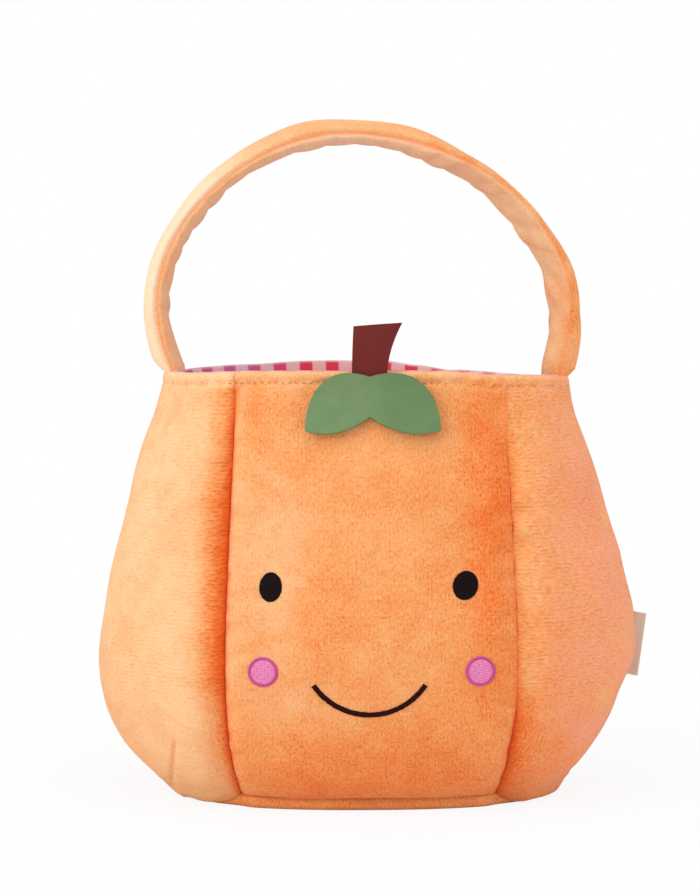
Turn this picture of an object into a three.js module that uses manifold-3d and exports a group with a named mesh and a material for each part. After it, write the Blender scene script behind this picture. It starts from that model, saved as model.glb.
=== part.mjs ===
// A plush pumpkin treat basket: six puffed gores over wadding, a check lining, and a padded handle.
// Millimetres, +Z up. The origin is the centre of the base on the floor, and the face looks along -Y.
import * as THREE from "three";
import { mergeVertices } from "three/addons/utils/BufferGeometryUtils.js";
import Module from "manifold-3d";

const wasm = await Module();
wasm.setup();

// Half-sizes of the body's oval section at the rim, at the belly and at the base
const rimHalfWidth = 96.5;
const rimHalfDepth = 60;
const bellyHalfWidth = 123.5;
const bellyHalfDepth = 82;
const baseHalfWidth = 95;
const baseHalfDepth = 62;

// How square the oval is: 2 is an ellipse
const squareness = 2.4;

// Heights above the floor
const rimHeight = 203;
const bellyHeight = 69;

// Half the distance between the two seams of the face panel
const rimSeamHalf = 62.5;
const bellySeamHalf = 67.5;
const baseSeamHalf = 60.5;

// The side view's curve: how far it runs below the rim, over and under the belly, and above the base,
// and its swell where it leaves the rim and turns into the base, as a share of the belly's
const neckRun = 40;
const shoulderRun = 35;
const neckSwell = 0.18;
const hipRun = 28;
const turnRun = 14;
const turnSwell = 0.62;

// Thickness of each layer of the wall, and the clearance between pieces
const plushThickness = 2.2;
const waddingThickness = 3;
const liningThickness = 0.8;
const gap = 0.3;

// Puff of the panels between their seams, and how it dies out at the rim and rolls in at the base
const panelPuff = 5;
const gorePuff = 6.5;
const pillowPower = 3;
const pillowRound = 0.6;
const puffTopRun = 55;
const footRoll = 13;

// Turned and stitched edge of the plush at the rim
const hemHeight = 4.5;
const hemStep = 1;
const rimRound = 1.2;

// Base: the rolled edge of the oval panel, the stiff board, and the pad on it
const baseEdgeHeight = 7;
const baseRoll = 4;
const boardThickness = 2;
const boardInset = 3;
const basePadThickness = 3.6;

// Handle: a flat padded tube that leans out of the rim and rises to its crown
const strapHalfWidth = 14;
const strapHalfThickness = 6.4;
const strapRootHalfThickness = 5.2;
const strapTaperRun = 30;
const strapCloth = 1.8;
const handleRise = 112.4;
const crownShift = -10;
const leftRootLean = 28;
const leftRootPull = 65.7;
const leftCrownPull = 42.4;
const rightRootLean = 15.8;
const rightRootPull = 63.7;
const rightCrownPull = 53.9;
const tabLength = 22;

// Stem: a flat tongue of soft sheet with a slanted top
const stemThickness = 1.6;
const stemFootHalf = 8.1;
const stemTopLeft = -7.4;
const stemTopRight = 15.2;
const stemRise = 23.7;
const stemTopSlant = 1.6;
const stemTuck = 16;

// Leaf: two lobes in one piece
const leafThickness = 1.3;
const leafLeftReach = 28.7;
const leafRightReach = 32.2;
const leafNotch = 0.4;
const leafLobeRise = 2.6;
const leafTipDrop = 24.6;
const leafMiddleDrop = 18.8;
const leafBellyDrop = 4.6;
const leafTipLift = 2.2;

// Face: stitched eyes, cheeks and mouth, a little left of the panel's middle
const faceShift = -0.6;
const stitchHeight = 0.9;
const eyeSpread = 44.8;
const eyeHeight = 106.8;
const eyeHalfWidth = 5.3;
const eyeHalfHeight = 6.9;
const cheekSpread = 50;
const cheekHeight = 68.3;
const cheekRadius = 6.1;
const cheekBorder = 1.7;
const mouthRadius = 31;
const mouthHalfWidth = 26;
const mouthLowPoint = 49;
const mouthHalfStroke = 1.25;

// Folded label in the right side seam
const labelHeight = 32;
const labelCentre = 68.4;
const labelReach = 11.3;
const labelTail = 1.8;
const labelSheet = 0.45;
const labelFoldGap = 0.4;

// Depths below the oval section, from the outside in
const waddingDepth = plushThickness + gap;
const backDepth = waddingDepth + waddingThickness;
const liningDepth = backDepth + gap;
const innerDepth = liningDepth + liningThickness;

// Heights of the layers in the base
const footHeight = baseEdgeHeight + gap;
const boardHeight = plushThickness + gap;
const padHeight = boardHeight + boardThickness + gap;
const liningFloor = padHeight + basePadThickness + gap;
const liningFoot = liningFloor + liningThickness + gap;

// The handle turns about a line above the rim, so that its rounded ends clear the rim
const hingeHeight = rimHeight + strapHalfWidth + gap;
const rootHalfSpan = rimHalfWidth - innerDepth / 2;

// Counts of facets
const gapsAcross = 8;
const rowsUp = 8;
const strapSteps = 30;
const strapSides = 6;

const { lerp, smoothstep, clamp } = THREE.MathUtils;
const QUARTER = Math.PI / 2;

// The side view as a swell from 0 at the rim or the base to 1 at the belly.
const upperSwell = new THREE.CubicBezierCurve(
  new THREE.Vector2(0, rimHeight),
  new THREE.Vector2(neckSwell, rimHeight - neckRun),
  new THREE.Vector2(1, bellyHeight + shoulderRun),
  new THREE.Vector2(1, bellyHeight),
);
const lowerSwell = new THREE.CubicBezierCurve(
  new THREE.Vector2(1, bellyHeight),
  new THREE.Vector2(1, bellyHeight - hipRun),
  new THREE.Vector2(turnSwell, footHeight + turnRun),
  new THREE.Vector2(0, footHeight),
);

// The share of the swell at a height, by halving the curve's range.
function swellAt(curve, z) {
  let low = 0;
  let high = 1;
  for (let step = 0; step < 40; step++) {
    const middle = (low + high) / 2;
    if (curve.getPoint(middle).y > z) low = middle;
    else high = middle;
  }
  return curve.getPoint(low).x;
}

// Half-width, half-depth and half-distance between the face seams at a height.
function girth(z) {
  const upper = z >= bellyHeight;
  const swell = swellAt(upper ? upperSwell : lowerSwell, clamp(z, footHeight, rimHeight));
  return {
    halfWidth: lerp(upper ? rimHalfWidth : baseHalfWidth, bellyHalfWidth, swell),
    halfDepth: lerp(upper ? rimHalfDepth : baseHalfDepth, bellyHalfDepth, swell),
    seamHalf: lerp(upper ? rimSeamHalf : baseSeamHalf, bellySeamHalf, swell),
  };
}

// A point on the squared oval section at an angle from the front, moved out of it by a distance.
function wallPoint(angle, z, out) {
  const { halfWidth, halfDepth } = girth(z);
  const sine = Math.sin(angle);
  const cosine = Math.cos(angle);
  const reach = (Math.abs(sine) ** squareness + Math.abs(cosine) ** squareness) ** (-1 / squareness);
  const normal = new THREE.Vector2(
    (Math.sign(sine) * Math.abs(sine) ** (squareness - 1)) / halfWidth,
    (-Math.sign(cosine) * Math.abs(cosine) ** (squareness - 1)) / halfDepth,
  ).normalize();
  return new THREE.Vector3(
    halfWidth * reach * sine + out * normal.x,
    -halfDepth * reach * cosine + out * normal.y,
    z,
  );
}

// The angle of the seam beside the face panel at a height.
const seamAngle = (z) => {
  const { halfWidth, seamHalf } = girth(z);
  const sideways = seamHalf / halfWidth;
  return Math.atan2(sideways, (1 - sideways ** squareness) ** (1 / squareness));
};

// Each panel's name, and its two edges as angles from the front that depend on the height.
const panels = [
  { name: "left_front", puff: gorePuff, from: () => -QUARTER, to: (z) => -seamAngle(z) },
  { name: "front", puff: panelPuff, from: (z) => -seamAngle(z), to: seamAngle },
  { name: "right_front", puff: gorePuff, from: seamAngle, to: () => QUARTER },
  { name: "right_back", puff: gorePuff, from: () => QUARTER, to: (z) => Math.PI - seamAngle(z) },
  { name: "back", puff: panelPuff, from: (z) => Math.PI - seamAngle(z), to: (z) => Math.PI + seamAngle(z) },
  { name: "left_back", puff: gorePuff, from: (z) => Math.PI + seamAngle(z), to: () => 3 * QUARTER },
];
const facePanel = panels[1];

// How far a panel stands out of the oval: a pillow across, dying out at the rim and rolling in at the foot.
function puffAt(panel, across, z) {
  const pillow = (1 - Math.abs(2 * across - 1) ** pillowPower) ** pillowRound;
  const top = smoothstep(rimHeight - z, 0, puffTopRun);
  const low = clamp((footHeight + footRoll - z) / footRoll, 0, 1);
  return panel.puff * pillow * top * Math.sqrt(1 - low * low);
}

// The angle across a panel, kept half a clearance from each seam.
function angleAcross(panel, across, z) {
  const inset = (angle) => {
    const step = 0.001;
    return (gap * step) / wallPoint(angle - step, z, 0).distanceTo(wallPoint(angle + step, z, 0));
  };
  const start = panel.from(z);
  const end = panel.to(z);
  return lerp(start + inset(start), end - inset(end), across);
}

// Shares across a panel, closer together towards its seams.
const shareAcross = (i) => 0.5 - 0.5 * Math.cos((Math.PI * i) / gapsAcross);

// A geometry from points and triangles.
function geometryOf(points, faces) {
  const geometry = new THREE.BufferGeometry().setFromPoints(points);
  geometry.setIndex(faces.flat());
  geometry.computeVertexNormals();
  return geometry;
}

// A closed sheet between two grids of points, front facing out and back facing in.
function closedSheet(columns, rows, frontPoint, backPoint) {
  const points = [];
  for (const pointAt of [frontPoint, backPoint])
    for (let j = 0; j <= rows; j++) for (let i = 0; i <= columns; i++) points.push(pointAt(i, j));
  const front = (i, j) => j * (columns + 1) + i;
  const back = (i, j) => front(i, j) + (columns + 1) * (rows + 1);
  const faces = [];
  for (let j = 0; j < rows; j++)
    for (let i = 0; i < columns; i++) {
      faces.push([front(i, j), front(i + 1, j), front(i + 1, j + 1)]);
      faces.push([front(i, j), front(i + 1, j + 1), front(i, j + 1)]);
      faces.push([back(i, j), back(i + 1, j + 1), back(i + 1, j)]);
      faces.push([back(i, j), back(i, j + 1), back(i + 1, j + 1)]);
    }
  const border = [];
  for (let i = 0; i < columns; i++) border.push([i, 0]);
  for (let j = 0; j < rows; j++) border.push([columns, j]);
  for (let i = columns; i > 0; i--) border.push([i, rows]);
  for (let j = rows; j > 0; j--) border.push([0, j]);
  border.forEach((here, k) => {
    const next = border[(k + 1) % border.length];
    faces.push([front(...next), front(...here), back(...here)]);
    faces.push([front(...next), back(...here), back(...next)]);
  });
  return geometryOf(points, faces);
}

// A closed tube through rings of points, with a flat fan at each end.
function closedTube(sides, rows, pointAt) {
  const points = [];
  for (let j = 0; j <= rows; j++) for (let i = 0; i < sides; i++) points.push(pointAt(i, j));
  const middleOf = (row) => {
    const middle = new THREE.Vector3();
    for (let i = 0; i < sides; i++) middle.add(points[row * sides + i]);
    return middle.divideScalar(sides);
  };
  points.push(middleOf(0), middleOf(rows));
  const start = (rows + 1) * sides;
  const faces = [];
  for (let i = 0; i < sides; i++) {
    const next = (i + 1) % sides;
    for (let j = 0; j < rows; j++) {
      faces.push([j * sides + i, j * sides + next, (j + 1) * sides + next]);
      faces.push([j * sides + i, (j + 1) * sides + next, (j + 1) * sides + i]);
    }
    faces.push([start, next, i]);
    faces.push([start + 1, rows * sides + i, rows * sides + next]);
  }
  return geometryOf(points, faces);
}

// Solids for cutting, and back to a geometry.
function solidOf(geometry) {
  const bare = geometry.index ? geometry.toNonIndexed() : geometry.clone();
  bare.deleteAttribute("normal");
  bare.deleteAttribute("uv");
  const merged = mergeVertices(bare, 1e-4);
  return new wasm.Manifold(
    new wasm.Mesh({
      numProp: 3,
      vertProperties: merged.getAttribute("position").array,
      triVerts: new Uint32Array(merged.index.array),
    }),
  );
}

function geometryFrom(solid) {
  const mesh = solid.getMesh();
  const points = [];
  for (let k = 0; k < mesh.numVert; k++) {
    points.push(new THREE.Vector3().fromArray(mesh.vertProperties, k * mesh.numProp));
  }
  const faces = [];
  for (let k = 0; k < mesh.numTri; k++) faces.push([...mesh.triVerts.subarray(3 * k, 3 * k + 3)]);
  return geometryOf(points, faces);
}

// Row heights of the wall between its two hems, closer together where it rolls in at the foot.
const waddingFoot = liningFoot + hemStep + gap;
const waddingTop = rimHeight - hemHeight - hemStep - gap;
const rowSpacing = 1.5;
const middleRows = [];
for (let k = 1; k < rowsUp; k++) {
  middleRows.push(lerp(waddingFoot, waddingTop, (k / rowsUp) ** rowSpacing));
}

// Half-width of the faceted wall at a height, straight between its rows.
function seamHalfWidth(z) {
  const rows = [footHeight, waddingFoot, ...middleRows, waddingTop, rimHeight];
  const k = clamp(rows.findIndex((row) => row > z) - 1, 0, rows.length - 2);
  return lerp(girth(rows[k]).halfWidth, girth(rows[k + 1]).halfWidth, (z - rows[k]) / (rows[k + 1] - rows[k]));
}

// The plush of one panel: a skin that thickens into a turned hem at the foot and at the rim.
function plushPanel(panel) {
  const rows = [
    [footHeight, 0, backDepth],
    [liningFoot, 0, backDepth],
    [liningFoot + hemStep, 0, plushThickness],
    ...middleRows.map((z) => [z, 0, plushThickness]),
    [rimHeight - hemHeight - hemStep, 0, plushThickness],
    [rimHeight - hemHeight, 0, backDepth],
    [rimHeight - rimRound, 0, backDepth],
    [rimHeight, rimRound, backDepth],
  ];
  const place = (i, z, depth, puffed) => {
    const across = shareAcross(i);
    return wallPoint(angleAcross(panel, across, z), z, puffed * puffAt(panel, across, z) - depth);
  };
  return closedSheet(
    gapsAcross,
    rows.length - 1,
    (i, j) => place(i, rows[j][0], rows[j][1], 1),
    (i, j) => place(i, rows[j][0], rows[j][2], rows[j][2] === plushThickness ? 1 : 0),
  );
}

// The wadding behind one panel, which fills its puff.
function waddingPanel(panel) {
  const rows = [waddingFoot, ...middleRows, waddingTop];
  const place = (i, z, depth, puffed) => {
    const across = shareAcross(i);
    return wallPoint(angleAcross(panel, across, z), z, puffed * puffAt(panel, across, z) - depth);
  };
  return closedSheet(
    gapsAcross,
    rows.length - 1,
    (i, j) => place(i, rows[j], waddingDepth, 1),
    (i, j) => place(i, rows[j], backDepth, 0),
  );
}

// A layer of the wall between two depths, behind neighbouring panels, with its facets in line with theirs.
function wallLayer(behind, foot, top, outer, inner) {
  const rows = [foot, waddingFoot, ...middleRows, waddingTop, top];
  const place = (i, z, depth) => {
    const panel = behind[Math.min(Math.floor(i / gapsAcross), behind.length - 1)];
    const local = i - behind.indexOf(panel) * gapsAcross;
    return wallPoint(angleAcross(panel, shareAcross(local), z), z, -depth);
  };
  return closedSheet(
    behind.length * gapsAcross,
    rows.length - 1,
    (i, j) => place(i, rows[j], outer),
    (i, j) => place(i, rows[j], inner),
  );
}

// The lining, behind three panels, from side seam to side seam.
const liningHalf = (behind) => wallLayer(behind, liningFoot, rimHeight, liningDepth, innerDepth);

// A patch of such a layer, centred on the side seam between two gores, from a height up to its top.
function sidePatch(gores, halfWidth, low, top, outer, inner) {
  const patch = new THREE.BoxGeometry(4 * bellyHalfWidth, 2 * halfWidth, top - low + gap);
  patch.translate(0, 0, (low + top + gap) / 2);
  return solidOf(wallLayer(gores, footHeight, top, outer, inner)).intersect(solidOf(patch));
}

// The slot that each handle end is sewn into, and the end itself.
const tabSlot = (gores) =>
  sidePatch(gores, strapHalfWidth + gap, rimHeight - tabLength - gap, rimHeight + gap, plushThickness, innerDepth);
const handleTab = (gores) =>
  geometryFrom(sidePatch(gores, strapHalfWidth, rimHeight - tabLength, rimHeight, waddingDepth, backDepth));

// A closed oval piece inside the wall's oval at a height, from rings of depth in and height.
// Its facets line up with those of the panels round it.
function ovalPiece(wallHeight, rings) {
  return closedTube(panels.length * gapsAcross, rings.length - 1, (i, j) => {
    const panel = panels[Math.floor(i / gapsAcross)];
    const across = shareAcross(i % gapsAcross);
    const angle = lerp(panel.from(wallHeight), panel.to(wallHeight), across);
    return wallPoint(angle, wallHeight, -rings[j][0]).setZ(rings[j][1]);
  });
}

// The plush base: a flat oval whose edge rolls up to the seam.
function basePanel() {
  const rings = [];
  for (const turn of [0, 0.25, 0.5, 0.75, 1]) {
    rings.push([baseRoll * (1 - Math.sin(turn * QUARTER)), baseRoll * (1 - Math.cos(turn * QUARTER))]);
  }
  rings.push([0, baseEdgeHeight - rimRound]);
  rings.push([rimRound, baseEdgeHeight]);
  rings.push([plushThickness, baseEdgeHeight]);
  rings.push([plushThickness, baseRoll]);
  rings.push([baseRoll, plushThickness]);
  return ovalPiece(footHeight, rings);
}

// A flat oval plate, inset from the wall's oval at a height.
const ovalPlate = (wallHeight, inset, low, thickness) =>
  ovalPiece(wallHeight, [[inset, low], [inset, low + thickness]]);

// Where the handle's middle line runs, from the left root over the crown to the right root.
function handlePath() {
  const at = (x, rise) => new THREE.Vector3(x, 0, rimHeight + rise);
  const path = new THREE.CurvePath();
  path.add(
    new THREE.CubicBezierCurve3(
      at(-rootHalfSpan, gap),
      at(-rootHalfSpan - leftRootLean, leftRootPull),
      at(crownShift - leftCrownPull, handleRise),
      at(crownShift, handleRise),
    ),
  );
  path.add(
    new THREE.CubicBezierCurve3(
      at(crownShift, handleRise),
      at(crownShift + rightCrownPull, handleRise),
      at(rootHalfSpan + rightRootLean, rightRootPull),
      at(rootHalfSpan, gap),
    ),
  );
  return path;
}

const handleLine = handlePath();
const handleLength = handleLine.getLength();

// A point of the handle's section: around it by an angle, a cloth depth inside its surface.
function strapPoint(share, angle, depth) {
  const middle = handleLine.getPointAt(share);
  const along = handleLine.getTangentAt(share);
  const outward = new THREE.Vector3(-along.z, 0, along.x);
  const fromRoot = Math.min(share, 1 - share) * handleLength;
  const half = lerp(strapRootHalfThickness, strapHalfThickness, smoothstep(fromRoot, 0, strapTaperRun));
  const across = (strapHalfWidth - depth) * Math.cos(angle);
  const out = (half - depth) * Math.sin(angle);
  return middle.addScaledVector(outward, out).setY(across);
}

// The handle's ends are half-round about the hinge line, so that they turn clear of the rim.
function tongueCutter() {
  const top = hingeHeight + handleRise;
  const outline = new THREE.Shape();
  outline.moveTo(strapHalfWidth, top);
  outline.lineTo(-strapHalfWidth, top);
  outline.lineTo(-strapHalfWidth, hingeHeight);
  outline.absarc(0, hingeHeight, strapHalfWidth, Math.PI, 2 * Math.PI, false);
  const reach = bellyHalfWidth + strapHalfWidth;
  const geometry = new THREE.ExtrudeGeometry(outline, { depth: 2 * reach, bevelEnabled: false, curveSegments: 12 });
  geometry.translate(0, 0, -reach);
  geometry.applyMatrix4(
    new THREE.Matrix4().makeBasis(
      new THREE.Vector3(0, 1, 0),
      new THREE.Vector3(0, 0, 1),
      new THREE.Vector3(1, 0, 0),
    ),
  );
  return solidOf(geometry);
}

// One cloth strip of the handle, round half of its section, kept half a clearance from the edge seams.
function handleStrip(start) {
  const inset = gap / 2 / strapRootHalfThickness;
  const place = (i, j, depth) =>
    strapPoint(j / strapSteps, start + lerp(inset, Math.PI - inset, i / strapSides), depth);
  const strip = closedSheet(
    strapSides,
    strapSteps,
    (i, j) => place(i, j, 0),
    (i, j) => place(i, j, strapCloth),
  );
  return geometryFrom(solidOf(strip).intersect(tongueCutter()));
}

// The padding inside the handle.
function handlePadding() {
  const sides = 2 * strapSides;
  const core = closedTube(sides, strapSteps, (i, j) =>
    strapPoint(j / strapSteps, (2 * Math.PI * i) / sides, strapCloth + gap),
  );
  return geometryFrom(solidOf(core).intersect(tongueCutter()));
}

// A point on the outside of the face panel at a sideways place and height, lifted off it.
const faceMesh = new THREE.Mesh(plushPanel(facePanel));
function onFace(x, z, lift) {
  const start = new THREE.Vector3(x, -2 * bellyHalfDepth, Math.min(z, rimHeight - hemHeight));
  const ray = new THREE.Raycaster(start, new THREE.Vector3(0, 1, 0));
  const hit = ray.intersectObject(faceMesh)[0];
  return hit.point.addScaledVector(hit.face.normal, lift).setZ(z + lift * hit.face.normal.z);
}

// The flat stem, which stands on the face panel behind the leaf and rises above the rim.
function stem() {
  const columns = 3;
  const rows = 8;
  const place = (i, j, lift) => {
    const rise = lerp(-stemTuck, stemRise, j / rows);
    const lean = clamp(rise / stemRise, 0, 1) ** 2;
    const left = lerp(-stemFootHalf, stemTopLeft, lean);
    const right = lerp(stemFootHalf, stemTopRight, lean);
    const slant = (stemTopSlant * lean * i) / columns;
    return onFace(lerp(left, right, i / columns), rimHeight + rise + slant, lift);
  };
  return closedSheet(
    columns,
    rows,
    (i, j) => place(i, j, gap + stemThickness),
    (i, j) => place(i, j, gap),
  );
}

// The upper and lower edge of one leaf lobe, from the middle notch to the tip, with its reach as 1.
const leafUpper = new THREE.CubicBezierCurve(
  new THREE.Vector2(0, -leafNotch),
  new THREE.Vector2(0.34, leafLobeRise),
  new THREE.Vector2(0.94, leafLobeRise),
  new THREE.Vector2(1, -leafTipDrop),
);
const leafLower = new THREE.CubicBezierCurve(
  new THREE.Vector2(0, -leafMiddleDrop),
  new THREE.Vector2(0.3, -leafTipDrop),
  new THREE.Vector2(0.62, -leafTipDrop - leafBellyDrop),
  new THREE.Vector2(1, -leafTipDrop - 2 * leafNotch),
);

// The leaf lies over the stem, and its lobes spring off the plush towards their tips.
function leaf() {
  const columns = 20;
  const rows = 4;
  const place = (i, j, lift) => {
    const side = (2 * i) / columns - 1;
    const share = Math.sin(Math.abs(side) * QUARTER);
    const upper = leafUpper.getPoint(share);
    const lower = leafLower.getPoint(share);
    const out = lerp(lower.x, upper.x, j / rows);
    const x = out * (side < 0 ? -leafLeftReach : leafRightReach);
    return onFace(x, rimHeight + lerp(lower.y, upper.y, j / rows), lift + leafTipLift * out ** 2);
  };
  const under = stemThickness + 2 * gap;
  return closedSheet(
    columns,
    rows,
    (i, j) => place(i, j, under + leafThickness),
    (i, j) => place(i, j, under),
  );
}

// A stitched patch on the face: rings of points round a centre, between two oval outlines.
function stitchedPatch(x, z, outer, inner, top, sides) {
  const place = (i, reach, lift) => {
    const angle = (2 * Math.PI * i) / sides;
    return onFace(x + reach[0] * Math.cos(angle), z + reach[1] * Math.sin(angle), lift);
  };
  const shoulder = outer.map((reach) => reach - top / 2);
  const rings = [
    [inner, gap],
    [outer, gap],
    [outer, gap + top / 2],
    [shoulder, gap + top],
    [inner, gap + top],
  ];
  return { place, rings };
}

// A filled oval of stitching.
function stitchedOval(x, z, halfWidth, halfHeight) {
  const sides = 20;
  const middle = [halfWidth / 2, halfHeight / 2];
  const { place, rings } = stitchedPatch(x, z, [halfWidth, halfHeight], middle, stitchHeight, sides);
  return closedTube(sides, rings.length - 1, (i, j) => place(i, ...rings[j]));
}

// A ring of stitching round a cheek.
function stitchedRing(x, z, radius, width) {
  const sides = 24;
  const inner = [radius, radius];
  const { place, rings } = stitchedPatch(x, z, [radius + width, radius + width], inner, stitchHeight, sides);
  const points = [];
  for (const [reach, lift] of rings) for (let i = 0; i < sides; i++) points.push(place(i, reach, lift));
  const faces = [];
  rings.forEach((ring, j) => {
    const above = ((j + 1) % rings.length) * sides;
    for (let i = 0; i < sides; i++) {
      const next = (i + 1) % sides;
      faces.push([j * sides + i, j * sides + next, above + next]);
      faces.push([j * sides + i, above + next, above + i]);
    }
  });
  return geometryOf(points, faces);
}

// The mouth: a stitched arc that hangs below its centre.
function mouth() {
  const steps = 20;
  const reach = Math.asin(mouthHalfWidth / mouthRadius);
  const centreHeight = mouthLowPoint + mouthRadius;
  const section = [
    [-mouthHalfStroke, gap],
    [-mouthHalfStroke, gap + stitchHeight / 2],
    [0, gap + stitchHeight],
    [mouthHalfStroke, gap + stitchHeight / 2],
    [mouthHalfStroke, gap],
  ];
  return closedTube(section.length, steps, (i, j) => {
    const angle = lerp(-reach, reach, j / steps);
    const radius = mouthRadius + section[i][0];
    return onFace(faceShift + radius * Math.sin(angle), centreHeight - radius * Math.cos(angle), section[i][1]);
  });
}

// The folded label follows the right side seam, with its two cut ends in the seam.
function sideLabel() {
  const half = labelSheet + labelFoldGap / 2;
  const slot = labelFoldGap / 2;
  const outline = new THREE.Shape();
  outline.moveTo(-labelTail, -half);
  outline.lineTo(labelReach - half, -half);
  outline.absarc(labelReach - half, 0, half, -QUARTER, QUARTER, false);
  outline.lineTo(-labelTail, half);
  outline.lineTo(-labelTail, slot);
  outline.lineTo(labelReach - half, slot);
  outline.absarc(labelReach - half, 0, slot, QUARTER, -QUARTER, true);
  outline.lineTo(-labelTail, -slot);
  const geometry = new THREE.ExtrudeGeometry(outline, {
    depth: labelHeight,
    steps: 4,
    bevelEnabled: false,
    curveSegments: 4,
  });
  geometry.translate(0, 0, labelCentre - labelHeight / 2);
  return followSeam(geometry);
}

// Moves a geometry out to the right side seam, height by height.
function followSeam(geometry) {
  const place = geometry.getAttribute("position");
  for (let k = 0; k < place.count; k++) place.setX(k, place.getX(k) + seamHalfWidth(place.getZ(k)));
  geometry.computeVertexNormals();
  return geometry;
}

// The slot in the two gores that holds the label's ends.
function labelSlot() {
  const thickness = 2 * (labelSheet + gap) + labelFoldGap;
  const reach = 2 * plushThickness + gap / 2;
  const box = new THREE.BoxGeometry(reach, thickness, labelHeight + 2 * gap, 1, 1, 4);
  box.translate(-gap / 4, 0, labelCentre);
  return solidOf(followSeam(box));
}

// Colours and finish of each cloth
const cloths = {
  plush: new THREE.MeshStandardMaterial({ color: 0xf79a55, roughness: 0.95, metalness: 0 }),
  wadding: new THREE.MeshStandardMaterial({ color: 0xf2f0ea, roughness: 1, metalness: 0 }),
  lining: new THREE.MeshStandardMaterial({ color: 0xe9a0ad, roughness: 0.85, metalness: 0 }),
  board: new THREE.MeshStandardMaterial({ color: 0xb9a98c, roughness: 0.8, metalness: 0 }),
  stem: new THREE.MeshStandardMaterial({ color: 0x6f2c26, roughness: 0.6, metalness: 0 }),
  leaf: new THREE.MeshStandardMaterial({ color: 0x6f9a66, roughness: 0.6, metalness: 0 }),
  darkThread: new THREE.MeshStandardMaterial({ color: 0x17100f, roughness: 0.5, metalness: 0 }),
  pinkThread: new THREE.MeshStandardMaterial({ color: 0xe477ae, roughness: 0.5, metalness: 0 }),
  pinkBorder: new THREE.MeshStandardMaterial({ color: 0xd25c9d, roughness: 0.5, metalness: 0 }),
  label: new THREE.MeshStandardMaterial({ color: 0xe6d3b8, roughness: 0.8, metalness: 0 }),
};

const basket = new THREE.Group();

function add(parent, name, geometry, cloth) {
  const mesh = new THREE.Mesh(geometry, cloths[cloth]);
  mesh.name = name;
  parent.add(mesh);
}

// Cuts the handle's slots, and the label's slot, out of a piece of the wall.
function cutWall(geometry, cutters) {
  return geometryFrom(cutters.reduce((solid, cutter) => solid.subtract(cutter), solidOf(geometry)));
}

const leftGores = [panels[5], panels[0]];
const rightGores = [panels[2], panels[3]];
for (const panel of panels) {
  const isFlat = panel.puff === panelPuff;
  const isRight = rightGores.includes(panel);
  const slot = tabSlot(isRight ? rightGores : leftGores);
  const plushCuts = isRight ? [slot, labelSlot()] : [slot];
  const plush = plushPanel(panel);
  const wadding = waddingPanel(panel);
  add(basket, panel.name + (isFlat ? "_panel" : "_gore"), isFlat ? plush : cutWall(plush, plushCuts), "plush");
  add(basket, panel.name + "_wadding", isFlat ? wadding : cutWall(wadding, [slot]), "wadding");
}

add(basket, "base_panel", basePanel(), "plush");
add(basket, "base_board", ovalPlate(footHeight, plushThickness + boardInset, boardHeight, boardThickness), "board");
add(basket, "base_wadding", ovalPlate(footHeight, liningDepth, padHeight, basePadThickness), "wadding");
add(basket, "lining_front", liningHalf(panels.slice(0, 3)), "lining");
add(basket, "lining_back", liningHalf(panels.slice(3)), "lining");
add(basket, "lining_base", ovalPlate(liningFloor, liningDepth, liningFloor, liningThickness), "lining");
add(basket, "handle_tab_left", handleTab(leftGores), "plush");
add(basket, "handle_tab_right", handleTab(rightGores), "plush");

add(basket, "stem", stem(), "stem");
add(basket, "leaf", leaf(), "leaf");
for (const [side, name] of [[-1, "left"], [1, "right"]]) {
  const eye = stitchedOval(faceShift + side * eyeSpread, eyeHeight, eyeHalfWidth, eyeHalfHeight);
  add(basket, name + "_eye", eye, "darkThread");
  const filled = cheekRadius - gap;
  const cheek = faceShift + side * cheekSpread;
  add(basket, name + "_cheek", stitchedOval(cheek, cheekHeight, filled, filled), "pinkThread");
  add(basket, name + "_cheek_border", stitchedRing(cheek, cheekHeight, cheekRadius, cheekBorder), "pinkBorder");
}
add(basket, "mouth", mouth(), "darkThread");
add(basket, "side_label", sideLabel(), "label");

const handle = new THREE.Group();
add(handle, "handle_outer_strip", handleStrip(0), "plush");
add(handle, "handle_inner_strip", handleStrip(Math.PI), "plush");
add(handle, "handle_padding", handlePadding(), "wadding");
basket.add(handle);

export default basket;
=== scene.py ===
"""A plush pumpkin candy basket, dressed for the camera.

Six padded panels of short-pile plush make the body, with a turned and topstitched rim, a check
lining, a rolled base and a padded handle. The stitched face, the stem, the leaf and the folded
label are pieces of their own. Sizes are in metres and +Z is up; the face looks along -Y.
"""

import logging
import math
from dataclasses import dataclass, field
from enum import Enum
from typing import Callable, Sequence

import bpy
import numpy as np
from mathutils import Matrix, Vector
from mathutils.bvhtree import BVHTree
from numpy.typing import NDArray


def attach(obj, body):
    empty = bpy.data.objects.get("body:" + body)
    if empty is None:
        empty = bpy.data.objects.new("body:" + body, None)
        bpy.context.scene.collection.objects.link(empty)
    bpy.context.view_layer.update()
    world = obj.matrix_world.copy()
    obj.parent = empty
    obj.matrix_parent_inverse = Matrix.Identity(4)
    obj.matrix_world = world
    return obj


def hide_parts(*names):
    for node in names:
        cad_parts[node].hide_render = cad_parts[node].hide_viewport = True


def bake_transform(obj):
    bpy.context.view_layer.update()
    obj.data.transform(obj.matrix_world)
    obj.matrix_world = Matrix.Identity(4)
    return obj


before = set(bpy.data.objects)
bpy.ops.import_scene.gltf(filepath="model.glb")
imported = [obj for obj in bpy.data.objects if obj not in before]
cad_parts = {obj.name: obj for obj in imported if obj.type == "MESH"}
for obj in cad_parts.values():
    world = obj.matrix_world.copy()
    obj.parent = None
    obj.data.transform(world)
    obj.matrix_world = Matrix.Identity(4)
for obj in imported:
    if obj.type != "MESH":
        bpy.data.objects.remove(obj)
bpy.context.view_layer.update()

Array = NDArray[np.float64]
Pair = tuple[float, float]
Place = tuple[float, float, float]
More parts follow.
